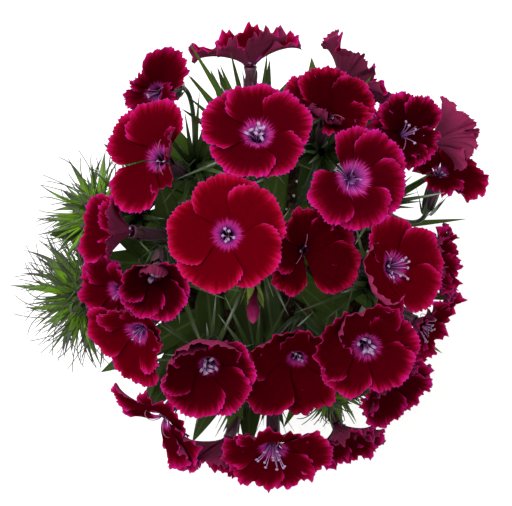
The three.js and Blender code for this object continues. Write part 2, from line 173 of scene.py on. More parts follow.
def bezier(start: np.ndarray, knee: np.ndarray, end: np.ndarray, stations: int) -> np.ndarray:
    """Points on quadratic curves: (1-t)^2 start + 2t(1-t) knee + t^2 end.

    Args:
        start: (3,) or (bodies, 3) first points.
        knee: Points that the curves bend towards.
        end: Last points.
        stations: Number of points on each curve.

    Returns:
        (stations, 3) or (bodies, stations, 3) points.
    """
    t = np.linspace(0, 1, stations)[:, None]
    start, knee, end = (np.asarray(p, float)[..., None, :] for p in (start, knee, end))
    return (1 - t) ** 2 * start + 2 * t * (1 - t) * knee + t**2 * end


def corners(sides: int) -> np.ndarray:
    """Angles of the corners of a ring, in radians."""
    return np.arange(sides) / sides * TURN


def rings(radius: np.ndarray, height: np.ndarray, angle: np.ndarray) -> np.ndarray:
    """(1, rings, sides, 3) points round +Z, from radii, heights and angles that broadcast to one grid."""
    radius, height, angle = np.broadcast_arrays(radius, height, angle)
    return np.stack([radius * np.cos(angle), radius * np.sin(angle), height], -1)[None]


def shading(grid: np.ndarray, *values: Union[float, np.ndarray]) -> np.ndarray:
    """Shading coordinates for a grid of points.

    Args:
        grid: The points.
        values: Up to three coordinates, each of which broadcasts to the grid; the rest are 0.

    Returns:
        The coordinates, of the grid's shape.
    """
    places = np.zeros(grid.shape)
    for axis, value in enumerate(values):
        places[..., axis] = value
    return places


# --- skins ------------------------------------------------------------------------------------------


@dataclass
class Skin:
    """Closed skins of triangles, in millimetres.

    Attributes:
        points: (n, 3) corners.
        faces: (m, 3) corner numbers.
        place: (n, 3) shading coordinates, whose meaning each finish states.
        tone: (n, 3) mood, which tells one copy from the next; shade, 1 for a piece darkened by painted
        shade; and edge, 1 along an outline that gets a painted highlight. Each is from 0 to 1.
        dress: (m,) index in DRESSES.
    """

    points: np.ndarray
    faces: np.ndarray
    place: np.ndarray
    tone: np.ndarray
    dress: np.ndarray

    @classmethod
    def join(cls, skins: Sequence["Skin"]) -> "Skin":
        """Makes one skin of several.

        Args:
            skins: The skins.

        Returns:
            The joined skin, with its faces' corners counted on.
        """
        starts = np.cumsum([0] + [len(skin.points) for skin in skins[:-1]])
        faces = np.concatenate([skin.faces + start for skin, start in zip(skins, starts)])
        names = ("points", "place", "tone", "dress")
        rest = {name: np.concatenate([getattr(skin, name) for skin in skins]) for name in names}
        return cls(faces=faces, **rest)

    def carried(self, turn: np.ndarray, to: np.ndarray) -> "Skin":
        """The skin turned, then moved to a place."""
        return replace(self, points=self.points @ turn.T + np.asarray(to, float))


def assembled(
    points: np.ndarray, faces: np.ndarray, place: np.ndarray, dress: Union[Dress, np.ndarray],
    mood: Mood = 0.5,
) -> Skin:
    """Joins bodies that share one face list, each wound so that its signed volume is positive.

    Args:
        points: (bodies, n, 3) corners.
        faces: (m, 3) corner numbers within one body.
        place: (bodies, n, 3) shading coordinates.
        dress: One dress, or (m,) indices in DRESSES.
        mood: One number, or one for each body.

    Returns:
        The joined skin.
    """
    bodies, count, _ = points.shape
    a, b, c = (points[:, faces[:, i]] for i in range(3))
    inside_out = np.einsum("bfi,bfi->b", a, np.cross(b, c)) < 0
    wound = np.where(inside_out[:, None, None], faces[None, :, ::-1], faces[None])
    wound = wound + (np.arange(bodies) * count)[:, None, None]
    kinds = np.full(len(faces), DRESSES.index(dress)) if isinstance(dress, Dress) else dress
    tone = np.zeros((bodies * count, 3))
    tone[:, 0] = np.repeat(np.broadcast_to(np.asarray(mood, float), (bodies,)), count)
    points, wound, place = (array.reshape(-1, 3) for array in (points, wound, place))
    return Skin(points, wound, place, tone, np.tile(kinds, bodies))


def wrapped(grids: np.ndarray, places: np.ndarray, dress: Dress, mood: Mood = 0.5) -> Skin:
    """Closes rings of points into bodies, with a fan at each end to the middle of its last ring.

    Args:
        grids: (bodies, rings, sides, 3) points; each ring goes once round its body.
        places: Shading coordinates of the same shape.
        dress: What the bodies are made of.
        mood: One number, or one for each body.

    Returns:
        The joined skin.
    """
    bodies, loops, sides, _ = grids.shape
    points, place = (
        np.concatenate([grid.reshape(bodies, -1, 3), grid[:, [0, -1]].mean(axis=2)], axis=1)
        for grid in (grids, places)
    )
    low = np.arange(loops - 1)[:, None] * sides
    side = np.arange(sides)[None, :]
    after = (side + 1) % sides
    pole = np.full_like(side, loops * sides)
    top = (loops - 1) * sides
    faces = [
        np.stack([low + side, low + after, low + sides + after], -1),
        np.stack([low + side, low + sides + after, low + sides + side], -1),
        np.stack([after, side, pole], -1),
        np.stack([top + side, top + after, pole + 1], -1),
    ]
    return assembled(points, np.concatenate([f.reshape(-1, 3) for f in faces]), place, dress, mood)


def tubes(
    paths: np.ndarray, radii: np.ndarray, sides: int, dress: Dress, mood: Mood = 0.5,
    reference: Optional[np.ndarray] = None,
) -> Skin:
    """Round bars: at each station a ring of the given radius, square to the path.

    Args:
        paths: (bodies, stations, 3) centre lines.
        radii: Radii that broadcast to (bodies, stations).
        sides: Corners of a ring.
        dress: What the bars are made of.
        mood: One number, or one for each bar.
        reference: (3,) direction that no stretch of a path runs along; worked out if left out.

    Returns:
        The bars, whose place is (share along, share around, 0).
    """
    bodies, stations, _ = paths.shape
    tangent = unit(np.gradient(paths, axis=1))
    if reference is None:
        chord = np.abs(paths[:, -1] - paths[:, 0])
        reference = np.eye(3)[np.argmin(chord, axis=1)][:, None, :]
    normal = unit(reference - (reference * tangent).sum(-1, keepdims=True) * tangent)
    binormal = np.cross(tangent, normal)
    angle = corners(sides)[None, None, :, None]
    spokes = np.cos(angle) * normal[:, :, None] + np.sin(angle) * binormal[:, :, None]
    reach = np.broadcast_to(radii, (bodies, stations))[:, :, None, None]
    grids = paths[:, :, None] + reach * spokes
    places = shading(grids, np.linspace(0, 1, stations)[:, None], np.arange(sides) / sides)
    return wrapped(grids, places, dress, mood)


def beads(
    centres: np.ndarray, halves: np.ndarray, radius: float, dress: Dress, mood: Mood = 0.5,
    stations: int = 6, sides: int = 6,
) -> Skin:
    """Long round grains: bars whose radius follows half an ellipse, r sqrt(1 - t^2).

    Args:
        centres: (bodies, 3) middles.
        halves: (bodies, 3) vectors from the middle to one end.
        radius: Largest radius.
        dress: What the grains are made of.
        mood: One number, or one for each grain.
        stations: Rings along a grain.
        sides: Corners of a ring.

    Returns:
        The grains.
    """
    blunt_end = 0.97
    t = np.linspace(-blunt_end, blunt_end, stations)
    paths = centres[:, None] + halves[:, None] * t[None, :, None]
    return tubes(paths, np.sqrt(1 - t**2) * radius, sides, dress, mood)


def sheet(
    front: np.ndarray, back: np.ndarray, places: np.ndarray, dresses: tuple[Dress, Dress], mood: Mood = 0.5
) -> Skin:
    """Closes the faces of thin blades along the outline that they share.

    The diagonals of two corner cells are turned, so that no triangle lies wholly in the outline.

    Args:
        front: (bodies, rows, columns, 3) points of the face; its outline is also the back's.
        back: Points of the back.
        places: Shading coordinates of the same shape.
        dresses: Dress of the face and of the back.
        mood: One number, or one for each blade.

    Returns:
        The joined blades.
    """
    bodies, rows, columns, _ = front.shape
    inner = np.zeros((rows, columns), bool)
    inner[1:-1, 1:-1] = True
    face = np.arange(rows * columns).reshape(rows, columns)
    under = face.copy()
    under[inner] = rows * columns + np.arange(inner.sum())
    flip = np.zeros((rows - 1, columns - 1, 1), bool)
    flip[0, -1] = flip[-1, 0] = True

    def cells(index: np.ndarray) -> np.ndarray:
        """Cuts each cell of a grid in two.

        Args:
            index: (rows, columns) corner numbers.

        Returns:
            (m, 3) corner numbers of the triangles.
        """
        a, b, c, d = index[:-1, :-1], index[:-1, 1:], index[1:, 1:], index[1:, :-1]
        first = np.where(flip, np.stack([a, b, d], -1), np.stack([a, b, c], -1))
        second = np.where(flip, np.stack([b, c, d], -1), np.stack([a, c, d], -1))
        return np.concatenate([first.reshape(-1, 3), second.reshape(-1, 3)])

    points = np.concatenate([front.reshape(bodies, -1, 3), back[:, inner]], axis=1)
    place = np.concatenate([places.reshape(bodies, -1, 3), places[:, inner]], axis=1)
    faces = np.concatenate([cells(face), cells(under)[:, ::-1]])
    dress = np.repeat([DRESSES.index(kind) for kind in dresses], len(faces) // 2)
    return assembled(points, faces, place, dress, mood)


def blades(
    midribs: np.ndarray, across: np.ndarray, halves: np.ndarray, thickness: float, channel: float,
    columns: int, dresses: tuple[Dress, Dress], mood: Mood, wave: float = 0.0,
) -> Skin:
    """Long leaves: over each midrib a section that is raised towards both edges by channel times w^2.

    Args:
        midribs: (bodies, stations, 3) centre lines.
        across: (bodies, 3) unit vectors to one side.
        halves: Half widths that broadcast to (bodies, stations).
        thickness: Half thickness at the midrib, which thins out to both edges.
        channel: Rise of the edges as a share of the half width.
        columns: Points across.
        dresses: Dress of the upper face and of the back.
        mood: One number, or one for each blade.
        wave: How far the edges wave up and down, as a share of the half width.

    Returns:
        The blades, whose place is (share along, -1 to 1 across, 0).
    """
    bodies, stations, _ = midribs.shape
    w = np.linspace(-1, 1, columns)[None, None, :, None]
    t = np.linspace(0, 1, stations)[None, :, None, None]
    side = across[:, None, :]
    normal = unit(np.cross(np.gradient(midribs, axis=1), side))
    half = np.broadcast_to(halves, (bodies, stations))[:, :, None, None]
    phase = np.arange(bodies)[:, None, None, None]
    ruffle = wave * np.sin(11 * t + 2.4 * w + phase) * w**2
    lift = half * (channel * w**2 + ruffle)
    plump = thickness * (1 - w**2) * (1 - 0.6 * t)
    middle = midribs[:, :, None] + half * w * side[:, :, None] + lift * normal[:, :, None]
    offset = plump * normal[:, :, None]
    return sheet(middle + offset, middle - offset, shading(middle, t[..., 0], w[..., 0]), dresses, mood)


# --- finishes ---------------------------------------------------------------------------------------


def paint(code: str) -> tuple[float, float, float, float]:
    """Turns a screen's colour into linear light, by the usual formula of screens.

    Args:
        code: Six hexadecimal digits.

    Returns:
        Red, green, blue and 1.
    """
    parts = np.array([int(code[i:i + 2], 16) / 255 for i in (0, 2, 4)])
    linear = np.where(parts <= 0.04045, parts / 12.92, ((parts + 0.055) / 1.055) ** 2.4)
    return (*linear.tolist(), 1.0)


class Recipe:
    """The nodes of one material, which end in a Principled surface."""

    def __init__(self, name: str, roughness: float, specular: float) -> None:
        """Starts a material.

        Args:
            name: The material's name.
            roughness: Of the surface.
            specular: Strength of the reflection.
        """
        self.material = bpy.data.materials.new(name)
        self.material.use_nodes = True
        self.tree = self.material.node_tree
        self.tree.nodes.clear()
        self.surface = self.node("BsdfPrincipled", Roughness=roughness, Specular_IOR_Level=specular)
        output = self.node("OutputMaterial")
        self.feed(output.inputs["Surface"], self.surface.outputs["BSDF"])

    def node(self, kind: str, **inputs: Value) -> bpy.types.Node:
        """Adds a node.

        Args:
            kind: Its type, without the word Shader that all begin with.
            inputs: What its sockets take, with spaces in a socket's name written as _.

        Returns:
            The node.
        """
        node = self.tree.nodes.new("ShaderNode" + kind)
        for name, value in inputs.items():
            self.feed(node.inputs[name.replace("_", " ")], value)
        return node

    def feed(self, socket: Socket, value: Value) -> None:
        """Links a socket to another, or sets its constant.

        Args:
            socket: The socket that takes the value.
            value: Another node's socket, a number or a colour.
        """
        if isinstance(value, bpy.types.NodeSocket):
            self.tree.links.new(value, socket)
        else:
            socket.default_value = value

    def split(self, name: str) -> tuple[Socket, Socket, Socket]:
        """Reads one of the mesh's attributes.

        Args:
            name: The attribute's name.

        Returns:
            Its three numbers.
        """
        attribute = self.node("Attribute")
        attribute.attribute_name = name
        split = self.node("SeparateXYZ", Vector=attribute.outputs["Vector"])
        return split.outputs[0], split.outputs[1], split.outputs[2]

    def place(self) -> tuple[Socket, Socket, Socket]:
        """The skin's shading coordinates."""
        return self.split("place")

    def tone(self) -> tuple[Socket, Socket, Socket]:
        """The skin's mood, painted shade, and painted highlight along the outline."""
        return self.split("tone")

    def position(self) -> Socket:
        """Place on the object, in metres."""
        return self.node("TexCoord").outputs["Object"]

    def sum(self, operation: str, a: Value, b: Value = 0.0, c: Value = 0.0) -> Socket:
        """Does one step of arithmetic.

        Args:
            operation: ADD, MULTIPLY, MULTIPLY_ADD and so on.
            a: First number.
            b: Second number, where the operation has one.
            c: Third number, where it has one.

        Returns:
            The result.
        """
        node = self.node("Math")
        node.operation = operation
        for socket, value in zip(node.inputs, (a, b, c)):
            self.feed(socket, value)
        return node.outputs[0]

    def times(self, a: Value, b: Value) -> Socket:
        """The product of two numbers."""
        return self.sum("MULTIPLY", a, b)

    def swayed(self, value: Value, noise: Socket, depth: float) -> Socket:
        """A value moved by noise, counted from the noise's middle: value + depth (noise - 0.5)."""
        return self.sum("MULTIPLY_ADD", self.sum("SUBTRACT", noise, 0.5), depth, value)

    def vector(self, x: Value, y: Value, z: Value) -> Socket:
        """Three numbers as one vector."""
        return self.node("CombineXYZ", X=x, Y=y, Z=z).outputs[0]

    def noise(self, vector: Socket, scale: float, detail: float = 2.0, rough: float = 0.5) -> Socket:
        """Smooth noise, mostly from 0.25 to 0.75, of a fineness, with octaves that each add a rough share."""
        node = self.node("TexNoise", Vector=vector, Scale=scale, Detail=detail, Roughness=rough)
        return node.outputs["Fac"]

    def ramp(self, value: Socket, stops: Union[Stops, list[tuple[float, str]]]) -> Socket:
        """Gives each value a colour, easing between stops.

        Args:
            value: The value.
            stops: (value, colour) pairs, the lowest first.

        Returns:
            The colour.
        """
        node = self.node("ValToRGB", Fac=value)
        node.color_ramp.interpolation = "EASE"
        elements = node.color_ramp.elements
        while len(elements) < len(stops):
            elements.new(0.5)
        for element, (position, code) in zip(elements, stops):
            element.position = position
            element.color = paint(code)
        return node.outputs["Color"]

    def mask(self, value: Socket, *stops: tuple[float, float]) -> Socket:
        """A number from 0 to 1 for each value, easing between (value, number) stops on a screen's scale."""
        return self.ramp(value, [(at, f"{round(255 * share):02X}" * 3) for at, share in stops])

    def blend(self, share: Value, a: Value, b: Value, way: str = "MIX") -> Socket:
        """Turns colour a into b by a share.

        Args:
            share: From 0 to 1.
            a: First colour.
            b: Second colour.
            way: Name of the blend mode.

        Returns:
            The mixed colour.
        """
        node = self.node("Mix")
        node.data_type = "RGBA"
        node.blend_type = way
        node.clamp_factor = True
        for socket, value in zip((node.inputs[0], node.inputs[6], node.inputs[7]), (share, a, b)):
            self.feed(socket, value)
        return node.outputs[2]

    def tint(self, colour: Socket, mask: Socket, strength: float, code: str, way: str = "MIX") -> Socket:
        """A colour turned into a named one by a mask times its strength."""
        return self.blend(self.times(mask, strength), colour, paint(code), way)

    def finish(self, colour: Socket, height: Socket, strength: float, distance: float) -> None:
        """Gives the surface its colour and its fine relief.

        Args:
            colour: The base colour.
            height: Height that tilts the surface's normal.
            strength: Share of that tilt.
            distance: What a height of 1 stands for, in metres.
        """
        self.feed(self.surface.inputs["Base Color"], colour)
        bump = self.node("Bump", Strength=strength, Distance=distance, Height=height)
        self.feed(self.surface.inputs["Normal"], bump.outputs["Normal"])


class Finish:
    """How one kind of surface looks. Each kind has its roughness and specular, and lays its own nodes."""

    roughness: float
    specular: float

    def lay(self, r: Recipe) -> None:
        """Lays the nodes that colour the surface, in a recipe that has been started."""
        raise NotImplementedError

    def make(self, name: str) -> bpy.types.Material:
        """Builds the material.

        Args:
            name: Its name.

        Returns:
            The material.
        """
        recipe = Recipe(name, self.roughness, self.specular)
        self.lay(recipe)
        return recipe.material


@dataclass(frozen=True)
class PetalFace(Finish):
    """Velvety face: deep crimson, flames into a magenta rim, and a lilac eye with rays round a dark throat.

    place is (mm from the rim, mm from the throat, number across all the petals).

    Attributes:
        rim_band: Width of the magenta rim, in mm.
        eye_band: Radius of the eye, in mm.
        flame: How far the rim's flames reach in or out, in mm.
        rays: How far the eye's rays reach in or out, in mm.
        violet_rim: Colours from the rim inwards, at mood 1.
        red_rim: The same, at mood 0.
        eye: Colours from the throat outwards.
        ray: Colour of the eye's rays.
        dark: Colour of the painted shade over the middle, also used for its random dark patches.
        vein: Colour that the veins multiply by.
        edge_highlight: Colour of the painted highlight along the outline.
    """

    rim_band: float = 8.0
    eye_band: float = 9.0
    flame: float = 2.6
    rays: float = 4.2
    violet_rim: Stops = (
        (0.0, "B0188A"), (0.10, "A01068"), (0.26, "860638"), (0.44, "5E0218"), (0.66, "44000B"),
        (1.0, "3C0009"),
    )
    red_rim: Stops = (
        (0.0, "B01868"), (0.10, "A00C44"), (0.24, "860622"), (0.40, "680210"), (0.60, "58000B"),
        (1.0, "56000B"),
    )
    eye: Stops = (
        (0.0, "14041E"), (0.18, "24082A"), (0.30, "561256"), (0.42, "801A6C"), (0.52, "900E58"),
        (0.64, "6C0422"), (1.0, "54000C"),
    )
    ray: str = "BA5CB0"
    # Painted shade: the colour that the middle is darkened towards, by the floret's shade and random patches.
    dark: str = "1E0004"
    vein: str = "FF3050"
    # Painted highlight along the outline, where the rim catches the light.
    edge_highlight: str = "C83C90"
    roughness: float = 0.9
    specular: float = 0.0

    def lay(self, r: Recipe) -> None:
        """Lays the flamed rim over the middle with its painted shade, then the rayed eye, the veins, and the
        painted highlight along the outline.

        Args:
            r: The recipe that has been started.
        """
        rim, throat, across = r.place()
        mood, shade, outline = r.tone()
        lane = r.vector(r.times(across, 7.0), r.times(throat, 0.10), r.times(mood, 31.0))
        flame = r.noise(lane, 1.0, 3.0, 0.6)
        edge = r.sum("DIVIDE", r.swayed(rim, flame, self.flame * 2), self.rim_band)
        body = r.blend(mood, r.ramp(edge, self.red_rim), r.ramp(edge, self.violet_rim))
        # Painted shade: the floret's shade number, plus random patches, darkens the middle towards the dark
        # colour; the rim stays bright.
        patch = r.noise(r.vector(across, r.times(throat, 0.16), mood), 2.6)
        inner = r.mask(edge, (0.08, 0.25), (0.60, 1))
        dim = r.times(inner, r.sum("MULTIPLY_ADD", shade, 0.95, r.times(patch, 0.30)))
        body = r.blend(dim, body, paint(self.dark))
        ray = r.noise(r.vector(r.times(across, 16.0), r.times(throat, 0.05), mood), 1.0, 3.0, 0.7)
        reach = r.sum("DIVIDE", r.swayed(throat, ray, -self.rays * 2), self.eye_band)
        streak = r.noise(r.vector(r.times(across, 34.0), 0.3, mood), 1.0, 1.0)
        lit = r.mask(reach, (0.10, 0), (0.24, 0.627), (0.44, 1), (0.60, 0))
        strength = r.times(lit, r.sum("MULTIPLY_ADD", mood, 0.45, 0.35))
        share = r.times(r.mask(streak, (0.50, 0), (0.62, 1)), strength)
        eye = r.blend(share, r.ramp(reach, self.eye), paint(self.ray))
        colour = r.blend(r.mask(reach, (0.0, 0), (0.50, 0), (0.68, 1), (1.0, 1)), eye, body)
        vein = r.noise(r.vector(r.times(across, 60.0), r.times(throat, 0.3), mood), 1.0)
        colour = r.tint(colour, vein, 0.22, self.vein, "MULTIPLY")
        # Painted highlight along the outline.
        r.finish(r.tint(colour, outline, 0.45, self.edge_highlight), vein, 0.35, 0.0004)


@dataclass(frozen=True)
class PetalBack(Finish):
    """Paler back: dusty mauve with fine veins, darker and greener towards the claw.

    place is as on the face.

    Attributes:
        body: Colours from the throat outwards, over the length.
        edge: Colours from the rim inwards, over the band.
        length: In mm.
        band: In mm.
        vein: Colour of the veins.
        dim: Colour of painted shade on a petal.
        edge_highlight: Colour of the painted highlight along the outline.
    """

    body: Stops = ((0.0, "4A3828"), (0.12, "541A34"), (0.45, "70203F"), (0.8, "82244A"), (1.0, "8C224E"))
    edge: Stops = ((0.0, "A8205E"), (0.25, "8A244E"), (1.0, "782044"))
    length: float = 20.0
    band: float = 6.0
    vein: str = "4A0E2C"
    # Painted shade colour.
    dim: str = "2A0818"
    # Painted highlight along the outline.
    edge_highlight: str = "C03078"
    roughness: float = 0.8
    specular: float = 0.1

    def lay(self, r: Recipe) -> None:
        """Lays the body and the rim, then the veins, the painted shade and the painted outline highlight.

        Args:
            r: The recipe that has been started.
        """
        rim, throat, across = r.place()
        mood, shade, outline = r.tone()
        vein = r.noise(r.vector(r.times(across, 46.0), r.times(throat, 0.25), mood), 1.0)
        body = r.ramp(r.sum("DIVIDE", throat, self.length), self.body)
        colour = r.blend(0.45, body, r.ramp(r.sum("DIVIDE", rim, self.band), self.edge))
        colour = r.tint(colour, vein, 0.30, self.vein)
        # Painted shade, by the floret's shade number.
        colour = r.tint(colour, shade, 0.75, self.dim)
        # Painted highlight along the outline.
        r.finish(r.tint(colour, outline, 0.4, self.edge_highlight), vein, 0.4, 0.0004)


@dataclass(frozen=True)
class Graded(Finish):
    """A colour that changes along a piece, over a second colour that clouds it.

    place is (share along, share around or across, 0).

    Attributes:
        stops: (share, colour) pairs from the root to the tip.
        cloud: Colour of the clouding.
        clouding: How strong it is.
        grain: Its fineness, in clouds per metre.
        roughness: Of the surface.
        specular: Strength of the reflection.
        ribs: Bump along the piece, in lines around it; 0 for none.
    """

    stops: Stops
    cloud: str
    clouding: float = 0.5
    grain: float = 240.0
    roughness: float = 0.5
    specular: float = 0.4
    ribs: float = 0.0

    def lay(self, r: Recipe) -> None:
        """Lays the stops, moved along by the mood, then the clouds, and ribs or a soft grain.

        Args:
            r: The recipe that has been started.
        """
        along, around, _ = r.place()
        body = r.ramp(r.swayed(along, r.tone()[0], 0.3), self.stops)
        cloud = r.noise(r.position(), self.grain, 3.0)
        colour = r.tint(body, cloud, self.clouding, self.cloud)
        if self.ribs:
            r.finish(colour, r.sum("SINE", r.times(around, TURN * self.ribs)), 0.3, 0.0003)
        else:
            r.finish(colour, cloud, 0.25, 0.0004)


@dataclass(frozen=True)
class LeafFace(Finish):
    """A leaf's face or back: a pale midrib, faint lengthwise veins, and mottled green.

    place is (share along, -1 to 1 across, 0).

    Attributes:
        young: Colour of a fresh leaf, at mood 1.
        old: Colour of an old leaf, at mood 0.
        rib: Colour of the midrib.
        roughness: Of the surface.
        mottle: Colour of the mottling.
    """

    young: str
    old: str
    rib: str
    roughness: float
    mottle: str = "0E1A0C"
    specular: float = 0.12

    def lay(self, r: Recipe) -> None:
        """Lays the mottled green, then the stripes, and the midrib that fades towards the tip.

        Args:
            r: The recipe that has been started.
        """
        along, across, _ = r.place()
        mood, _, _ = r.tone()
        body = r.blend(mood, paint(self.old), paint(self.young))
        body = r.tint(body, r.noise(r.position(), 160.0, 4.0, 0.6), 0.45, self.mottle)
        stripe = r.noise(r.vector(r.times(across, 9.0), r.times(along, 1.2), mood), 1.6)
        body = r.tint(body, stripe, 0.35, self.young)
        near = r.mask(r.sum("ABSOLUTE", across), (0.0, 1), (0.07, 0.69), (0.16, 0))
        fade = r.times(near, r.sum("SUBTRACT", 0.8, r.times(along, 0.6)))
        r.finish(r.blend(fade, body, paint(self.rib)), stripe, 0.4, 0.0006)


@dataclass(frozen=True)
class Mottled(Finish):
    """Soil, grit, moulded plastic or a floor: two colours clouded at one scale, with a fine bump.

    Attributes:
        light: Lighter colour.
        dark: Darker colour.
        grain: Clouds per metre.
        roughness: Of the surface.
        relief: Depth of the bump, in metres.
        specular: Strength of the reflection.
    """

    light: str
    dark: str
    grain: float
    roughness: float
    relief: float
    specular: float = 0.3

    def lay(self, r: Recipe) -> None:
        """Lays the clouds, made lighter or darker by the mood.

        Args:
            r: The recipe that has been started.
        """
        cloud = r.noise(r.position(), self.grain, 5.0, 0.62)
        tone = r.swayed(cloud, r.tone()[0], 0.5)
        r.finish(r.ramp(tone, ((0.3, self.dark), (0.7, self.light))), cloud, 0.5, self.relief)


FINISHES: dict[Dress, Finish] = {
    Dress.PETAL_FACE: PetalFace(),
    Dress.PETAL_BACK: PetalBack(),
    Dress.CLAW: Graded(((0.0, "4A5030"), (0.45, "5A3040"), (0.75, "380C28"), (1.0, "0E0314")), "2A0820"),
    Dress.FILAMENT: Graded(((0.0, "5A1C60"), (0.6, "9A60A0"), (1.0, "B088B8")), "6A3478", 0.4),
    Dress.ANTHER: Graded(((0.0, "785880"), (0.5, "BAA0BC"), (1.0, "785880")), "664070", 0.6, 900.0, 0.7, 0.1),
    Dress.STYLE: Graded(((0.0, "5A1838"), (0.5, "823C5C"), (1.0, "9C6880")), "7A3450", 0.3),
    Dress.FURL: Graded(((0.0, "3A1020"), (0.5, "6A0838"), (0.8, "981858"), (1.0, "C23C7C")), "3A0418",
                       0.5, 500.0, 0.7, 0.1),
    Dress.CALYX: Graded(((0.0, "34301F"), (0.25, "382228"), (0.6, "40182A"), (1.0, "48142E")), "1C1410",
                        0.5, 300.0, 0.55, 0.3, 10.0),
    Dress.STEM: Graded(((0.0, "3C5028"), (0.5, "32451F"), (1.0, "2C3C20")), "16200F", 0.6, 200.0, 0.55, 0.3),
    Dress.LEAF_FACE: LeafFace("465E1C", "202C10", "607646", 0.5),
    Dress.LEAF_BACK: LeafFace("42583A", "304430", "586C4C", 0.6),
    Dress.AWN: Graded(((0.0, "345218"), (0.4, "334A22"), (0.72, "3C4632"), (1.0, "443A38")), "182410",
                      0.45, 300.0),
    Dress.BUD_BRACT: Graded(((0.0, "2E4A14"), (0.3, "5A7A1C"), (0.6, "7C9030"), (1.0, "6A7448")), "2E4A14",
                            0.3, 300.0),
    Dress.BUD_CALYX: Graded(
        ((0.0, "34301F"), (0.5, "40182A"), (0.74, "44202A"), (0.84, "5C7020"), (1.0, "8A9C40")),
        "1C1410", 0.3, 300.0, 0.55, 0.3, 10.0,
    ),
    Dress.BRISTLE: Graded(
        ((0.0, "98C41C"), (0.30, "7CAC20"), (0.55, "5E7C2E"), (0.78, "4C5244"), (1.0, "40323E")),
        "3A5A1C", 0.25, 300.0, 0.55, 0.15,
    ),
    # Pale tips, partly the bract's own glaucous colour and partly painted highlight where the tips catch the
    # light.
    Dress.TUFT: Graded(
        ((0.0, "141E08"), (0.4, "283A10"), (0.72, "44582A"), (0.88, "6A7A5A"), (1.0, "A0AE9C")),
        "141C0C", 0.5, 300.0, 0.55, 0.15,
    ),
    Dress.POT: Mottled("D2CFC7", "CECBC3", 380.0, 0.42, 0.0001, 0.45),
    Dress.SOIL: Mottled("3A2A1E", "120C08", 420.0, 0.95, 0.0015, 0.15),
    Dress.CRUMB: Mottled("4A3626", "180F0A", 600.0, 0.95, 0.0010, 0.15),
    Dress.GRIT: Mottled("E8E4DA", "B8B2A6", 900.0, 0.8, 0.0006),
    Dress.FLOOR: Mottled("F6F6F6", "F4F4F4", 3.0, 0.8, 0.0, 0.1),
}


@cache
def material(dress: Dress) -> bpy.types.Material:
    """The material of a dress, made when a piece first needs it."""
    return FINISHES[dress].make(dress.value)


def mesh_object(name: str, skin: Skin) -> bpy.types.Object:
    """A smooth-shaded mesh object of a skin, at the origin, with its place and tone as attributes.

    Args:
        name: Name of the object and its mesh.
        skin: The skin, in millimetres.

    Returns:
        The linked object, in metres.
    """
    mesh = bpy.data.meshes.new(name)
    mesh.vertices.add(len(skin.points))
    mesh.vertices.foreach_set("co", (skin.points * MM).astype(np.float32).ravel())
    mesh.loops.add(skin.faces.size)
    mesh.loops.foreach_set("vertex_index", skin.faces.astype(np.int32).ravel())
    mesh.polygons.add(len(skin.faces))
    mesh.polygons.foreach_set("loop_start", np.arange(0, skin.faces.size, 3, dtype=np.int32))
    used, slots = np.unique(skin.dress, return_inverse=True)
    mesh.polygons.foreach_set("material_index", slots.astype(np.int32).ravel())
    mesh.polygons.foreach_set("use_smooth", np.ones(len(skin.faces), bool))
    for label, values in (("place", skin.place), ("tone", skin.tone)):
        attribute = mesh.attributes.new(label, "FLOAT_VECTOR", "POINT")
        attribute.data.foreach_set("vector", values.astype(np.float32).ravel())
    mesh.update(calc_edges=True)
    mesh.validate()
    for kind in used:
        mesh.materials.append(material(DRESSES[kind]))
    obj = bpy.data.objects.new(name, mesh)
    bpy.context.scene.collection.objects.link(obj)
    return obj


def piece(name: str, skin: Skin, nodes: Sequence[str]) -> bpy.types.Object:
    """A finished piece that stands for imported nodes.

    Args:
        name: Name of the piece.
        skin: Its skin.
        nodes: The nodes that it replaces.

    Returns:
        The piece.
    """
    obj = mesh_object(name, skin)
    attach(obj, "root")
    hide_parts(*nodes)
    LOG.info("%s: %d triangles, stands for %s", name, len(skin.faces), ", ".join(nodes))
    return obj


# --- florets ----------------------------------------------------------------------------------------


@dataclass(frozen=True)
class PetalShape:
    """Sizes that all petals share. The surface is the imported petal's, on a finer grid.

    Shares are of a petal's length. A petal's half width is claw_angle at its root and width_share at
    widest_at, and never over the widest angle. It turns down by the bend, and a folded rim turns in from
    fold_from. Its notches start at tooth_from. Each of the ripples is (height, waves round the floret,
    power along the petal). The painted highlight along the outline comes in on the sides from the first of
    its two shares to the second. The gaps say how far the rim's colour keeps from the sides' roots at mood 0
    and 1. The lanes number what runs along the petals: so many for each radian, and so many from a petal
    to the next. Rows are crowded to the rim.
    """

    count: int = 5
    root: float = 0.8
    width_share: float = 0.74
    widest_at: float = 0.75
    claw_angle: float = 41.0
    widest: float = 62.0
    fold_from: float = 0.50
    corner_drop: float = 0.34
    roundness: float = 3.0
    bend: float = 30.0
    lap: float = 0.42
    ripples: tuple[tuple[float, int, float], ...] = ((0.5, 12, 3.0), (0.5, 7, 4.0), (0.45, 31, 6.0))
    tooth_from: float = 0.80
    teeth: int = 24
    tooth_depth: float = 0.95
    width_play: tuple[float, float] = (0.94, 1.16)
    sway: float = 5.0
    half_thickness: float = 0.16
    dip: float = 2.4
    dip_reach: float = 1.3
    frill: float = 0.22
    curl: float = 0.5
    # Shares along the sides between which the painted highlight along the outline comes in.
    edge_highlight: tuple[float, float] = (0.78, 0.98)
    red_rim_gap: float = 40.0
    violet_rim_gap: float = 18.0
    side_weight: float = 1.3
    lanes: float = 2.2
    lanes_apart: float = 2.5
    rows: int = 15
    crowding: float = 1.5


CLAW_DEPTH = 6.0
# The claws' bundle and the throat inside it: (radius, height) from its foot to the throat's floor.
CLAW_PROFILE = (
    (1.3, -7.5), (1.5, -6.0), (1.7, -4.0), (2.1, -2.0), (2.4, -0.9), (1.9, -0.8), (1.3, -2.2), (0.7, -3.4),
)


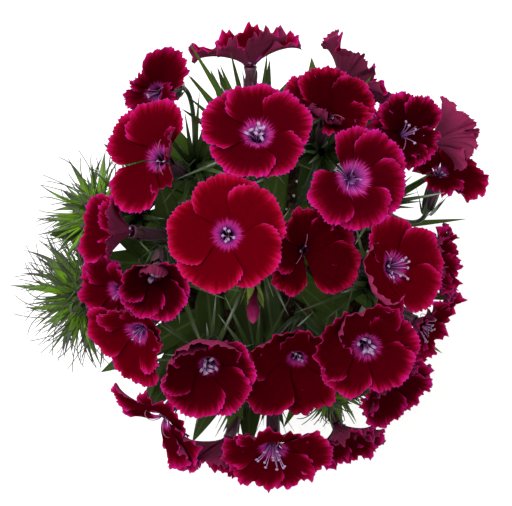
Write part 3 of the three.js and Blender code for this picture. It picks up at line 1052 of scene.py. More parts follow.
@dataclass(frozen=True)
class Look:
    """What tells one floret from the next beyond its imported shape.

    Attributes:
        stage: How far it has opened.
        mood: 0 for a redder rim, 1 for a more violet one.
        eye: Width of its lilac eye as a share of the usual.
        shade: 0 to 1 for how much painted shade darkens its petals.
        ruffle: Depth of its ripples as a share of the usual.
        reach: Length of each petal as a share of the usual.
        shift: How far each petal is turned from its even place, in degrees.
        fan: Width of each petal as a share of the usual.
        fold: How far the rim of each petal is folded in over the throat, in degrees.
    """

    stage: Stage
    mood: float
    eye: float = 1.0
    shade: float = 0.0
    ruffle: float = 1.0
    reach: Five = (1.0, 1.0, 1.0, 1.0, 1.0)
    shift: Five = (0.0, 0.0, 0.0, 0.0, 0.0)
    fan: Five = (1.0, 1.0, 1.0, 1.0, 1.0)
    fold: Five = (0.0, 0.0, 0.0, 0.0, 0.0)


@dataclass(frozen=True)
class Stamens:
    """How a floret's stamens stand.

    Attributes:
        count: Number of them.
        rise: Least and greatest height of a tip above the throat.
        spread: Least and greatest distance of a tip from the axis.
        lean: How far all tips lean downhill.
        anther: Half length of an anther's grains.
    """

    count: int
    rise: tuple[float, float]
    spread: tuple[float, float]
    lean: float
    anther: float


STAMENS = {
    Stage.YOUNG: Stamens(6, (-0.4, 1.2), (0.8, 2.2), 0.0, 0.65),
    Stage.OPEN: Stamens(9, (2.2, 5.0), (0.6, 3.4), 0.6, 1.3),
    Stage.RAYED: Stamens(24, (0.5, 1.8), (2.6, 6.6), 0.0, 0.3),
    Stage.SHEDDING: Stamens(13, (3.0, 6.2), (1.0, 5.8), 3.6, 0.55),
    Stage.STYLED: Stamens(2, (0.0, 0.5), (0.8, 1.6), 0.0, 0.3),
}


@dataclass
class Floret(Leaning):
    """One floret: five toothed petals on their bundled claws, with stamens and styles at the throat.

    Attributes:
        number: From 1, as in its node's name.
        at: Throat centre.
        lean: Tilt of its axis from +Z.
        toward: Compass angle of that tilt.
        spin: Turn about its own axis.
        span: Diameter when flat.
        rise: How far each petal stands up.
        look: Its colour, ruffles and stamens.
        shape: Sizes that all petals share.
        filament: Radius of a filament at its foot and its tip.
        filament_foot: (distance from the axis, depth) where filaments start.
        grain: Radius of an anther's grains.
        grain_gap: Half the distance between the two grains.
        style: Radius of a style at its foot and its tip.
        style_foot: (distance from the axis, depth) where styles start.
        style_length: Along its curl.
    """

    number: int
    at: tuple[float, float, float]
    lean: float
    toward: float
    spin: float
    span: float
    rise: Five
    look: Look
    shape: ClassVar[PetalShape] = PetalShape()
    filament: ClassVar[tuple[float, float]] = (0.2, 0.13)
    filament_foot: ClassVar[tuple[float, float]] = (0.6, 2.6)
    grain: ClassVar[float] = 0.27
    grain_gap: ClassVar[float] = 0.24
    style: ClassVar[tuple[float, float]] = (0.22, 0.1)
    style_foot: ClassVar[tuple[float, float]] = (0.3, 2.5)
    style_length: ClassVar[float] = 15.0

    def rise_at(self, angle: np.ndarray) -> np.ndarray:
        """How far the petals stand up at compass angles round the floret, eased from each to the next.

        Args:
            angle: Angles in radians.

        Returns:
            The rise in radians.
        """
        place = np.mod(angle / (TURN / self.shape.count), self.shape.count)
        index = np.floor(place).astype(int) % self.shape.count
        rise = np.radians(np.array(self.rise, float))
        return mix(rise[index], rise[(index + 1) % self.shape.count], smooth(place - np.floor(place)))

    def teeth(self, v: np.ndarray, chance: Chance) -> np.ndarray:
        """Depth of the notches along the rim: straight lines between tips and notches of uneven depth.

        Args:
            v: (columns,) places across the petal, -1 to 1.
            chance: Random draws.

        Returns:
            (columns,) how far the outline lies inside the tips' line.
        """
        shape = self.shape
        knots = np.arange(2 * shape.teeth + 1) / 2
        notches = chance.uniform(0.45, 1.2, len(knots)) * shape.tooth_depth
        tips = chance.uniform(0.0, 0.4, len(knots))
        depth = np.where(np.arange(len(knots)) % 2 == 0, notches, tips)
        lobes = 0.35 * (1 + np.sin(3.1 * np.pi * v + chance.uniform(0, TURN)))
        return np.interp((v + 1) / 2 * shape.teeth, knots, depth) + lobes

    def petal(self, k: int, chance: Chance) -> Skin:
        """Petal k: a patch of a dished disc that bends back towards its rim, tilted to lap the next one.

        A point at share u of the reach and place v across lies on an arc in the plane of its own angle.
        The arc starts at the petal's rise and turns down by the bend, and near its rim up again by the
        fold; its points are the sums of its short steps. Ripples, a frill at the rim and half the
        thickness stand off along its normal.

        Args:
            k: Number of the petal, from 0.
            chance: Random draws.

        Returns:
            The petal's skin, in the floret's own frame.
        """
        shape, look = self.shape, self.look
        columns = 2 * shape.teeth + 1
        u = (1 - (1 - np.linspace(0, 1, shape.rows)) ** shape.crowding)[:, None]
        v = np.linspace(-1, 1, columns)[None, :]
        length = (self.span / 2 - shape.root) * look.reach[k]
        outline = length * (1 - shape.corner_drop * np.abs(v) ** shape.roundness)
        notch = self.teeth(v[0], chance)[None, :]
        reach = u * outline - notch * late(u, shape.tooth_from)
        rim_radius = shape.root + shape.widest_at * length * np.cos(np.radians(self.rise[k]))
        rim_angle = min(shape.width_share * length / rim_radius, np.radians(shape.widest))
        rim_angle = rim_angle * chance.uniform(*shape.width_play)
        spread = smooth(u / shape.widest_at)
        half_angle = mix(np.radians(shape.claw_angle), rim_angle, spread) * look.fan[k]
        sway = np.radians(chance.uniform(-shape.sway, shape.sway) + look.shift[k]) * spread
        angle = TURN * k / shape.count + v * half_angle + sway
        folded = late(u, shape.fold_from) * (0.75 + 0.25 * np.sin(2.2 * v + k + self.number))
        bend = np.radians(shape.bend)
        slope = self.rise_at(angle) + bend / 2 - bend * reach / length + np.radians(look.fold[k]) * folded
        radius, height = self.arc(reach, slope)
        ripple = look.ruffle * sum(
            size * np.sin(count * angle + self.number + count) * u**power
            for size, count, power in shape.ripples
        )
        frill = shape.frill * np.sin(shape.teeth / 3 * np.pi * (v + 1)) * u**9
        curl = chance.uniform(0.0, shape.curl) * v**5 * u**2
        off = shape.lap * v * (1 - (1 - u) ** 3) * (1 + u**2) + ripple + frill + curl
        half = shape.half_thickness * (1 - v**8) * (1 - u**10)

        def stand(distance: np.ndarray) -> np.ndarray:
            """The surface moved along its normal."""
            return rings(radius - np.sin(slope) * distance, height + np.cos(slope) * distance, angle)

        side = (1 - np.abs(v)) * (reach + shape.root) * half_angle
        gap = mix(shape.red_rim_gap, shape.violet_rim_gap, look.mood)
        rim = np.minimum(outline - reach, shape.side_weight * side + gap * (1 - u))
        lane = v * half_angle * shape.lanes + shape.lanes_apart * k
        face = stand(off + half)
        places = shading(face, rim, (reach + shape.root) / look.eye, lane)
        skin = sheet(face, stand(off - half), places, (Dress.PETAL_FACE, Dress.PETAL_BACK), look.mood)
        # Painted highlight along the outline: all along the rim, and up the sides near the rim by the mood.
        edge_highlight = np.zeros(rim.shape)
        highlight_from, highlight_to = shape.edge_highlight
        edge_highlight[:, [0, -1]] = smooth((u - highlight_from) / (highlight_to - highlight_from)) * look.mood
        edge_highlight[-1] = 1
        # Painted shade over the whole petal, by the floret's shade number.
        skin.tone[:, 1] = look.shade
        skin.tone[:edge_highlight.size, 2] = edge_highlight.ravel()
        return skin

    def arc(self, reach: np.ndarray, slope: np.ndarray) -> tuple[np.ndarray, np.ndarray]:
        """Adds up a petal's short steps, each along its mean slope, and sinks its root into the throat.

        Args:
            reach: (rows, columns) length along the petal.
            slope: Its slope in radians, there.

        Returns:
            Distance from the axis, and height above the throat.
        """
        step = np.diff(reach, axis=0)
        middle = (slope[1:] + slope[:-1]) / 2
        start = np.zeros((1, reach.shape[1]))
        radius = self.shape.root + np.concatenate([start, np.cumsum(step * np.cos(middle), axis=0)])
        height = np.concatenate([start, np.cumsum(step * np.sin(middle), axis=0)])
        return radius, height - self.shape.dip * np.exp(-reach / self.shape.dip_reach)

    def claws(self) -> Skin:
        """The bundle of claws, with the throat sunk in its top: the profile carried round the axis."""
        grid = rings(*np.array(CLAW_PROFILE).T[..., None], corners(20))
        return wrapped(grid, shading(grid, np.linspace(0, 1, len(CLAW_PROFILE))[:, None]), Dress.CLAW)

    def stamens(self, chance: Chance) -> list[Skin]:
        """Bent filaments out of the throat, each with an anther of two grains side by side.

        Args:
            chance: Random draws.

        Returns:
            The filaments and the anthers, in the floret's own frame.
        """
        plan = STAMENS[self.look.stage]
        count = plan.count
        angle = spiral(count) + chance.uniform(0, 360)
        out = compass(angle)
        foot = out * self.filament_foot[0] - self.filament_foot[1] * UP
        width = chance.uniform(*plan.spread, (count, 1))
        downhill = plan.lean * compass(self.toward - self.spin) * chance.uniform(0.5, 1.2, (count, 1))
        tip = out * width + chance.uniform(*plan.rise, (count, 1)) * UP + downhill
        knee = mix(foot, tip, 0.55) * [0.6, 0.6, 1.0] + 0.8 * UP
        filaments = tubes(bezier(foot, knee, tip, 8), np.linspace(*self.filament, 8), 5, Dress.FILAMENT)
        heading = angle + chance.uniform(-70, 70, count)
        lie = unit(compass(heading) + chance.uniform(-0.2, 0.5, (count, 1)) * UP)
        apart = self.grain_gap * unit(np.cross(lie, UP))
        pair = np.concatenate([tip + apart, tip - apart]) + np.concatenate([lie, lie]) * 0.3
        anthers = beads(pair, np.concatenate([lie, lie]) * plan.anther, self.grain, Dress.ANTHER)
        return [filaments, anthers]

    def styles(self, chance: Chance) -> list[Skin]:
        """Two thread-like styles that curl over: the heading turns faster and faster along the thread.

        Args:
            chance: Random draws.

        Returns:
            The styles, in the floret's own frame.
        """
        stations = 26
        share = np.linspace(0, 1, stations)
        skins = []
        for start in chance.uniform(0, 360) + np.array([0.0, 150.0]):
            out = compass(start)
            heading = np.radians(mix(8.0, chance.uniform(190, 330), share**2.2))
            step = np.sin(heading)[:, None] * out + np.cos(heading)[:, None] * UP
            path = np.cumsum(step, axis=0) * self.style_length / stations
            path = path - self.style_foot[1] * UP + self.style_foot[0] * out
            radius = np.linspace(*self.style, stations)
            skins.append(tubes(path[None], radius, 5, Dress.STYLE, reference=compass(start + 90)))
        return skins

    def skin(self) -> Skin:
        """Joins the whole floret.

        Returns:
            Its skin, in its own frame.
        """
        chance = np.random.default_rng(SEED + self.number)
        parts = [self.petal(k, chance) for k in range(self.shape.count)]
        parts += [self.claws(), *self.stamens(chance)]
        if self.look.stage in (Stage.STYLED, Stage.SHEDDING):
            parts += self.styles(chance)
        return Skin.join(parts)

    def build(self) -> bpy.types.Object:
        """Makes the floret in its place."""
        skin = self.skin().carried(self.facing() @ turned(UP, self.spin), self.at)
        return piece(f"floret_{self.number:02d}", skin, [f"bloom_{self.number:02d}"])


@dataclass
class Bud(Leaning):
    """A closed bud: furled petal tips, twisted into a point above their calyx.

    Attributes:
        node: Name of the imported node.
        at: Where a floret's throat would be.
        lean: Tilt of its axis from +Z.
        toward: Compass angle of that tilt.
        foot: Radius at its foot.
        belly: Its largest radius.
        belly_at: Height of that.
        tip: Height of its point.
    """

    node: str
    at: tuple[float, float, float]
    lean: float
    toward: float
    foot: ClassVar[float] = 1.5
    belly: ClassVar[float] = 2.2
    belly_at: ClassVar[float] = 3.0
    tip: ClassVar[float] = 8.0

    def build(self) -> bpy.types.Object:
        """Makes the bud: a spindle whose five soft folds wind round it as they rise.

        Returns:
            The piece.
        """
        z = np.linspace(-CLAW_DEPTH, self.tip, 26)[:, None]
        angle = corners(40)
        rise = (z + CLAW_DEPTH) / (self.tip + CLAW_DEPTH)
        knots = [-CLAW_DEPTH, 0, self.belly_at, self.tip * 0.8, self.tip]
        radius = np.interp(z, knots, [self.foot, self.foot, self.belly, self.belly * 0.6, 0.25])
        fold = 1 + 0.34 * smooth(rise * 1.5 - 0.3) * (np.abs(np.sin(2.5 * (angle + 2.6 * rise))) - 0.4)
        grid = rings(radius * fold, z, angle)
        skin = wrapped(grid, shading(grid, rise, angle / TURN), Dress.FURL)
        return piece("furled_" + self.node, skin.carried(self.facing(), self.at), [self.node])


# --- shoots -----------------------------------------------------------------------------------------


@dataclass(frozen=True)
class Blade:
    """One leaf of a shoot.

    Attributes:
        share: Share of the stem's height where it grows.
        toward: Compass angle.
        length: Level reach.
        droop: How far the tip hangs below the arch.
        breadth: Width as a share of the usual.
    """

    share: float
    toward: float
    length: float
    droop: float
    breadth: float = 1.0


@dataclass(frozen=True)
class BristlyHead(Leaning):
    """A head of unopened buds among long awned bracts.

    Attributes:
        at: Middle of its green core.
        lean: Tilt of its axis from +Z.
        toward: Compass angle of that tilt.
        radius: Of the core.
        awns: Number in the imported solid.
        reach: Length of the longest awn.
        bud_half: Half length of a closed bud.
        bud_radius: Its radius.
        bract_half: Half width of a bract.
        bracts_per_awn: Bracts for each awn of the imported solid.
        threads_per_awn: Thread-like awns for each of its awns.
    """

    at: tuple[float, float, float]
    lean: float
    toward: float
    radius: float
    awns: int
    reach: float
    bud_half: ClassVar[float] = 4.6
    bud_radius: ClassVar[float] = 1.5
    bract_half: ClassVar[float] = 1.3
    bracts_per_awn: ClassVar[int] = 4
    threads_per_awn: ClassVar[int] = 3

    def skins(self, fork: np.ndarray, chance: Chance) -> list[Skin]:
        """Its stalk, core, closed buds, broad bracts and awns.

        Those of each kind leave the core at the golden angle from each other, spread over a cap.

        Args:
            fork: Where its stalk starts.
            chance: Random draws.

        Returns:
            The skins, in place.
        """
        facing = self.facing()
        axis = facing @ UP
        centre = np.array(self.at, float)
        stalk = bezier(fork, centre - 3 * self.radius * axis, centre - 0.8 * self.radius * axis, 12)

        def fan(count: int, widest: float) -> np.ndarray:
            """Spreads directions evenly over a cap.

            Args:
                count: Number of them.
                widest: Angle from the cap's middle to its edge.

            Returns:
                (count, 3) unit vectors.
            """
            tilt = np.radians(widest) * np.sqrt((np.arange(count) + 0.5) / count)[:, None]
            around = spiral(count) + chance.uniform(-14, 14, count)
            return (np.sin(tilt) * compass(around) + np.cos(tilt) * UP) @ facing.T

        def outward(count: int, widest: float, shortest: float, sag: float, stations: int) -> np.ndarray:
            """Makes paths that leave the core and sag or lift a little towards their tips.

            Args:
                count: Number of them.
                widest: As for the fan.
                shortest: Least length as a share of the longest.
                sag: How far the paths bow, as a share of their length.
                stations: Points along each.

            Returns:
                (count, stations, 3) points.
            """
            way = fan(count, widest)
            long = self.radius * 0.6 + self.reach * chance.uniform(shortest, 1.0, (count, 1))
            root = centre + 0.3 * self.radius * way
            knee = centre + 0.6 * long * way + unit(chance.normal(size=(count, 3))) * sag * long
            return bezier(root, knee, centre + (self.radius * 0.4 + long) * way, stations)

        buds = fan(int(4 * self.radius), 70)
        mood = chance.uniform(0.0, 0.5, len(buds))
        middles = centre + self.radius * 0.95 * buds
        grains = beads(middles, buds * self.bud_half, self.bud_radius, Dress.BRISTLE, mood, 9, 8)
        bracts = outward(self.bracts_per_awn * self.awns, 88, 0.35, 0.20, 12)
        share = np.linspace(0, 1, 12)
        width = self.bract_half * np.sin(np.pi * (0.24 + 0.76 * share) ** 0.8) ** 1.3 + 0.05
        side = unit(np.cross(bracts[:, -1] - bracts[:, 0], unit(chance.normal(size=(len(bracts), 3)))))
        mood = chance.uniform(0, 1, len(bracts))
        leaves = blades(bracts, side, width, 0.14, 0.35, 5, (Dress.BRISTLE, Dress.BRISTLE), mood)
        threads = outward(self.threads_per_awn * self.awns, 92, 0.7, 0.42, 16)
        mood = chance.uniform(0.4, 1, len(threads))
        awns = tubes(threads, np.linspace(0.30, 0.13, 16), 4, Dress.BRISTLE, mood)
        half = (axis * self.radius * 1.05)[None]
        core = beads(centre[None], half, self.radius * 0.8, Dress.CALYX, 0.2, 9, 16)
        stem = tubes(stalk[None], np.linspace(1.15, 1.3, 12), 10, Dress.STEM)
        return [stem, core, grains, leaves, awns]


@dataclass
class Shoot:
    """A leafy stem: the flower stalks and calyces that part at its fork, its leaves and bristly heads.

    Attributes:
        name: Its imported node.
        foot: Where the stem enters the soil.
        fork: Where the flower stalks part.
        carries: Numbers of its florets, from 1.
        low: Compass angle of its three low leaves, or None.
        leaves: Its further leaves.
        buds: Its closed buds.
        heads: Its bristly heads.
        tuft: Number of narrow bracts that stand at the fork.
        low_breadth: Width of its low leaves as a share of the usual.
        knee: Share of the stem's height up to which it stands straight.
        thick: Radius of the stem at its foot and at the fork.
        swelling: (height, width as a share of the stem) of a node where a leaf grows.
        stalk_lead: How far a flower's stalk runs straight below its calyx.
        floret_teeth: (length, spread) of an open calyx's teeth.
        bud_teeth: The same, where it holds a bud.
        leaf_arch: Rise of a leaf's arch as a share of its length.
        leaf_channel: Rise of a leaf's edges as a share of its half width.
        tuft_shortest: Share of a narrow bract below which it is left out.
        low_leaves: (share of the stem's height, turn, length, droop) of the low leaves.
    """

    name: str
    foot: tuple[float, float]
    fork: tuple[float, float, float]
    carries: tuple[int, ...] = ()
    low: Optional[float] = None
    leaves: tuple[Blade, ...] = ()
    buds: tuple[Bud, ...] = ()
    heads: tuple[BristlyHead, ...] = ()
    tuft: int = 18
    low_breadth: float = 1.0

    soil_level: ClassVar[float] = 74.0
    sunk: ClassVar[float] = 8.0
    knee: ClassVar[float] = 0.7
    thick: ClassVar[tuple[float, float]] = (1.7, 1.3)
    swelling: ClassVar[tuple[float, float]] = (0.35, 0.025)
    stalk_radius: ClassVar[float] = 0.85
    stalk_lead: ClassVar[float] = 14.0
    calyx_length: ClassVar[float] = 14.0
    calyx_radius: ClassVar[float] = 2.4
    calyx_sides: ClassVar[int] = 40
    bract_count: ClassVar[int] = 6
    floret_teeth: ClassVar[tuple[float, float]] = (4.2, 0.5)
    bud_teeth: ClassVar[tuple[float, float]] = (7.5, 2.2)
    leaf_half: ClassVar[float] = 5.2
    leaf_arch: ClassVar[float] = 0.42
    leaf_channel: ClassVar[float] = 0.2
    tuft_shortest: ClassVar[float] = 0.35
    low_leaves: ClassVar[tuple[tuple[float, float, float, float], ...]] = (
        (0.16, 0, 50, 20), (0.36, -26, 47, 8), (0.58, -1, 42, 0),
    )

    def curve(self, stations: int) -> np.ndarray:
        """The stem's centre line, from below the soil's surface to the fork: straight up, then over.

        Args:
            stations: Number of points.

        Returns:
            (stations, 3) points.
        """
        base = np.array([*self.foot, self.soil_level - self.sunk + SEAT])
        top = np.array(self.fork, float)
        knee = np.array([*self.foot, mix(base[2], top[2], self.knee)])
        return bezier(base, knee, top, stations)

    def all_leaves(self) -> list[Blade]:
        """Lists the low leaves, if it has them, and the rest.

        Returns:
            The leaves.
        """
        if self.low is None:
            return list(self.leaves)
        low = [
            Blade(share, self.low + turn, length, droop, self.low_breadth)
            for share, turn, length, droop in self.low_leaves
        ]
        return [*low, *self.leaves]

    def stem(self) -> Skin:
        """The stem, swollen into a node wherever a leaf grows: each adds a bell curve to the radius.

        Returns:
            Its skin.
        """
        path = self.curve(41)
        share = np.linspace(0, 1, len(path))
        radius = mix(*self.thick, share)
        swell, width = self.swelling
        for leaf in self.all_leaves():
            radius = radius + swell * np.exp(-(((share - leaf.share) / width) ** 2))
        return tubes(path[None], radius, 12, Dress.STEM)

    def leaf_skin(self, chance: Chance) -> list[Skin]:
        """The leaves: lances that arch out and droop, channelled, with softly waved edges.

        The half width at share t follows sin(pi t^0.75)^0.85 and is never under a seventh at the root.

        Args:
            chance: Random draws.

        Returns:
            One skin, or none if the shoot has no leaves.
        """
        leaves = self.all_leaves()
        if not leaves:
            return []
        stem = self.curve(201)
        root = np.array([stem[round(leaf.share * 200)] for leaf in leaves])
        out = compass(np.array([leaf.toward for leaf in leaves]))
        sizes = np.array([(leaf.length, leaf.droop, leaf.breadth) for leaf in leaves])
        length, droop, breadth = sizes.T[..., None]
        arch = self.leaf_arch * length
        tip = root + out * length + (arch - droop) * UP
        midrib = bezier(root, root + out * length / 2 + arch * UP, tip, 18)
        share = np.linspace(0, 1, 18)
        width = np.maximum(np.sin(np.pi * share**0.75) ** 0.85, 0.15 * (1 - share))
        width[-1] = 0.02
        halves = breadth * self.leaf_half * width
        dresses = (Dress.LEAF_FACE, Dress.LEAF_BACK)
        mood = chance.uniform(0, 1, len(leaves))
        return [blades(midrib, beside(out), halves, 0.22, self.leaf_channel, 9, dresses, mood, 0.10)]

    def calyx(self, budding: bool, chance: Chance) -> list[Skin]:
        """A ribbed tube with five pointed teeth, and the awned bracts that clasp it.

        The rings of the tube go up its wall and its teeth, and down their inside to a floor.

        Args:
            budding: Whether it holds a closed bud, with longer teeth and fresher bracts.
            chance: Random draws.

        Returns:
            The skins, in the floret's own frame.
        """
        teeth = self.bud_teeth if budding else self.floret_teeth
        bract, wall = (Dress.BUD_BRACT, Dress.BUD_CALYX) if budding else (Dress.AWN, Dress.CALYX)
        mouth = -(CLAW_DEPTH + SEAT)
        foot = mouth - self.calyx_length
        angle = corners(self.calyx_sides)
        tooth = teeth[0] * (1 - np.abs(2 * np.mod(angle * 5 / TURN, 1) - 1)) ** 0.8
        share = np.linspace(0, 1, 9)[:, None]
        belly = np.interp(share, [0, 0.2, 0.5, 1], [self.stalk_radius, 2.05, 2.3, self.calyx_radius])
        climb = np.array([0.35, 0.7, 1.0])[:, None]
        flare = self.calyx_radius + teeth[1] * climb * tooth / teeth[0]
        level = np.ones((1, self.calyx_sides))
        up = [(foot + share * self.calyx_length) * level, mouth + climb * tooth]
        down = [mouth + 0.7 * tooth[None], mouth * level, (mouth - 2) * level]
        height = np.concatenate(up + down)
        ribbed = belly * (1 + 0.03 * np.cos(10 * angle))
        radius = np.concatenate([ribbed, flare, flare[1:2] - 0.3, 2.1 * level, 1.2 * level])
        grid = rings(radius, height, angle)
        places = shading(grid, np.clip((height - foot) / (self.calyx_length + 4), 0, 1), angle / TURN)
        shell = wrapped(grid, places, wall, chance.uniform(0.3, 0.7))
        around = compass(np.arange(self.bract_count) * 360 / self.bract_count + chance.uniform(0, 60))
        length = chance.uniform(11.5, 18.0, (self.bract_count, 1))
        root = around * 1.6 + (foot - 0.6) * UP
        knee = around * 4.0 + (foot + 0.45 * length) * UP
        tip = around * chance.uniform(4.0, 9.0, (self.bract_count, 1)) + (foot + length + 1.0) * UP
        t = np.linspace(0, 1, 10)
        width = 1.5 * np.maximum(1 - t * 1.8, 0) ** 0.7 * np.minimum(1, 0.5 + 3 * t) + 0.16 * (1 - 0.8 * t)
        mood = chance.uniform(0.3, 1.0, self.bract_count)
        midribs = bezier(root, knee, tip, 10)
        bracts = blades(midribs, beside(around), width, 0.16, -0.3, 5, (bract, bract), mood)
        return [shell, bracts]

    def stalk(self, flower: Union[Floret, Bud], chance: Chance) -> list[Skin]:
        """The stalk from the fork to one flower, with its calyx.

        Args:
            flower: What it carries.
            chance: Random draws.

        Returns:
            The skins, in place.
        """
        facing = flower.facing()
        axis = facing @ UP
        foot = CLAW_DEPTH + SEAT + self.calyx_length
        throat = np.array(flower.at, float)
        knee = throat - axis * (foot + self.stalk_lead)
        path = bezier(np.array(self.fork, float), knee, throat - axis * (foot - 1), 14)
        stalk = tubes(path[None], self.stalk_radius, 9, Dress.STEM)
        calyx = self.calyx(isinstance(flower, Bud), chance)
        return [stalk, *(skin.carried(facing, throat) for skin in calyx)]

    def bristle_tuft(self, florets: Sequence[Floret], chance: Chance) -> list[Skin]:
        """Narrow bracts that stand up and out at the fork, each cut short below any floret in its way.

        Args:
            florets: Every floret of the plant.
            chance: Random draws.

        Returns:
            One skin, or none if the shoot has no tuft.
        """
        if not self.tuft:
            return []
        fork = np.array(self.fork, float)
        tilt = np.radians(chance.uniform(14, 62, self.tuft))[:, None]
        out = compass(spiral(self.tuft) + chance.uniform(-20, 20, self.tuft))
        long = chance.uniform(24, 40, (self.tuft, 1))
        root = fork - UP * chance.uniform(0, 6, (self.tuft, 1))
        bow = compass(chance.uniform(0, 360, self.tuft)) * long * chance.uniform(0.05, 0.35, (self.tuft, 1))
        tip = root + (np.sin(tilt) * out + np.cos(tilt) * UP) * long + bow
        last = 23
        paths = bezier(root, root + UP * long * 0.6, tip, last + 1)
        free = clear_share(paths, florets)
        keep = free > self.tuft_shortest
        paths, out = paths[keep], out[keep]
        stations = np.linspace(0, 1, 12)[None, :] * free[keep][:, None] * last
        low = np.floor(stations).astype(int)
        part = (stations - low)[..., None]
        body = np.arange(len(paths))[:, None]
        midrib = mix(paths[body, low], paths[body, np.minimum(low + 1, last)], part)
        t = np.linspace(0, 1, 12)
        width = 1.1 * np.sin(np.pi * np.clip(t, 0.12, 1) ** 0.6) ** 0.9 + 0.06
        mood = chance.uniform(0.1, 0.9, len(paths))
        return [blades(midrib, beside(out), width, 0.16, 0.3, 5, (Dress.TUFT, Dress.TUFT), mood)]

    def build(self, florets: Sequence[Floret]) -> bpy.types.Object:
        """Makes the whole shoot in its place.

        Args:
            florets: Every floret of the plant, in the order of their numbers.

        Returns:
            The piece.
        """
        chance = np.random.default_rng([SEED, *self.name.encode()])
        fork = np.array(self.fork, float)
        parts = [self.stem(), *self.leaf_skin(chance)]
        for flower in [*(florets[number - 1] for number in self.carries), *self.buds]:
            parts += self.stalk(flower, chance)
        for head in self.heads:
            parts += head.skins(fork, chance)
        parts += self.bristle_tuft(florets, chance)
        return piece("leafy_" + self.name, Skin.join(parts), [self.name])


def clear_share(paths: np.ndarray, florets: Sequence[Floret]) -> np.ndarray:
    """How far along each path runs before it comes near a floret's petals.

    A floret is taken as a dish: near it is within its span, less than 2.5 mm under its petals' mean
    slope or above them.

    Args:
        paths: (bodies, stations, 3) points.
        florets: The florets to keep clear of.

    Returns:
        (bodies,) shares from 0 to 1.
    """
    hit = np.zeros(paths.shape[:2], bool)
    for floret in florets:
        local = (paths - np.array(floret.at, float)) @ floret.facing()
        radius = np.linalg.norm(local[..., :2], axis=-1)
        dish = radius * np.tan(np.radians(min(np.mean(floret.rise), 40)))
        hit |= (radius < floret.span / 2 + 1) & (local[..., 2] > dish - 2.5) & (local[..., 2] < dish + 9)
    first = np.where(hit.any(axis=1), hit.argmax(axis=1), paths.shape[1])
    return np.clip((first - 1) / (paths.shape[1] - 1), 0, 1)


# --- pot and soil -----------------------------------------------------------------------------------


@dataclass(frozen=True)
class Pot:
    """A plain round tapered pot with a thick rolled rim.

    The foot and the mouth are outer radii of the wall, the edge and the lip are radii of the rounded outer
    and inner edges, and the hub is the radius of the ring in the middle of the floor.
    """

    height: float = 82.0
    foot: float = 31.0
    mouth: float = 43.0
    wall: float = 1.6
    floor: float = 3.0
    rim_height: float = 9.0
    rim_out: float = 2.4
    edge: float = 1.0
    lip: float = 0.7
    lip_in: float = 0.9
    hub: float = 0.5
    sides: int = 144

    def radius(self, z: Union[float, np.ndarray]) -> Union[float, np.ndarray]:
        """Radius of the outside of the tapered wall at a height."""
        return mix(self.foot, self.mouth, z / self.height)

    def profile(self) -> np.ndarray:
        """The outline: under the floor, up the wall, round the rim, and down the inside.

        Returns:
            (n, 2) radius and height.
        """

        def arc(r: float, z: float, size: float, start: float, end: float) -> list[tuple[float, float]]:
            """Five points on a round stretch about (r, z), by angle from straight out."""
            angle = np.radians(np.linspace(start, end, 5))
            return [(r + size * np.cos(a), z + size * np.sin(a)) for a in angle]

        under = self.height - self.rim_height
        rim = self.radius(self.height) + self.rim_out
        inside = self.radius(self.height) - self.wall
        edge = self.edge
        points = [
            (self.hub, 0.0),
            *arc(self.radius(0) - edge, edge, edge, -90, 0),
            *[(self.radius(z), z) for z in np.linspace(6, under - 0.6, 10)],
            *arc(self.radius(under) + self.rim_out - edge / 2, under + edge / 2, edge / 2, -90, 0),
            (self.radius(under) + self.rim_out + 0.05, under + 3),
            *arc(rim - edge, self.height - edge, edge, 0, 90),
            *arc(inside + self.lip_in, self.height - self.lip, self.lip, 90, 180),
            *[(self.radius(z) - self.wall, z) for z in np.linspace(self.height - 3, self.floor + 2, 8)],
            (self.radius(self.floor) - self.wall - 1.5, self.floor),
            (self.hub, self.floor),
        ]
        return np.array(points)

    def build(self) -> bpy.types.Object:
        """Makes the pot: the profile carried round the axis."""
        grid = rings(*self.profile().T[..., None], corners(self.sides))
        return piece("round_pot", wrapped(grid, shading(grid), Dress.POT), ["pot"])


def lump() -> tuple[np.ndarray, np.ndarray]:
    """The even twenty-sided body: corners at (0, 1, golden ratio) with all signs and turns, joined when near.

    Returns:
        (12, 3) corners, one from the middle, and (20, 3) numbers of each face's corners.
    """
    golden = (1 + np.sqrt(5)) / 2
    signs = np.array([[a, b] for a in (-1, 1) for b in (-golden, golden)])
    upright = np.stack([signs[:, 1], np.zeros(4), signs[:, 0]], -1)
    knobs = unit(np.concatenate([np.insert(signs, 0, 0, axis=1), np.insert(signs, 2, 0, axis=1), upright]))
    gap = np.linalg.norm(knobs[:, None] - knobs[None], axis=-1)
    near = (gap > 0.1) & (gap < 1.2)
    faces = np.argwhere(near[:, :, None] & near[None] & near[:, None, :])
    faces = faces[(faces[:, 0] < faces[:, 1]) & (faces[:, 1] < faces[:, 2])]
    a, b, c = (knobs[faces[:, i]] for i in range(3))
    inward = np.einsum("fi,fi->f", a, np.cross(b, c)) < 0
    return knobs, np.where(inward[:, None], faces[:, ::-1], faces)


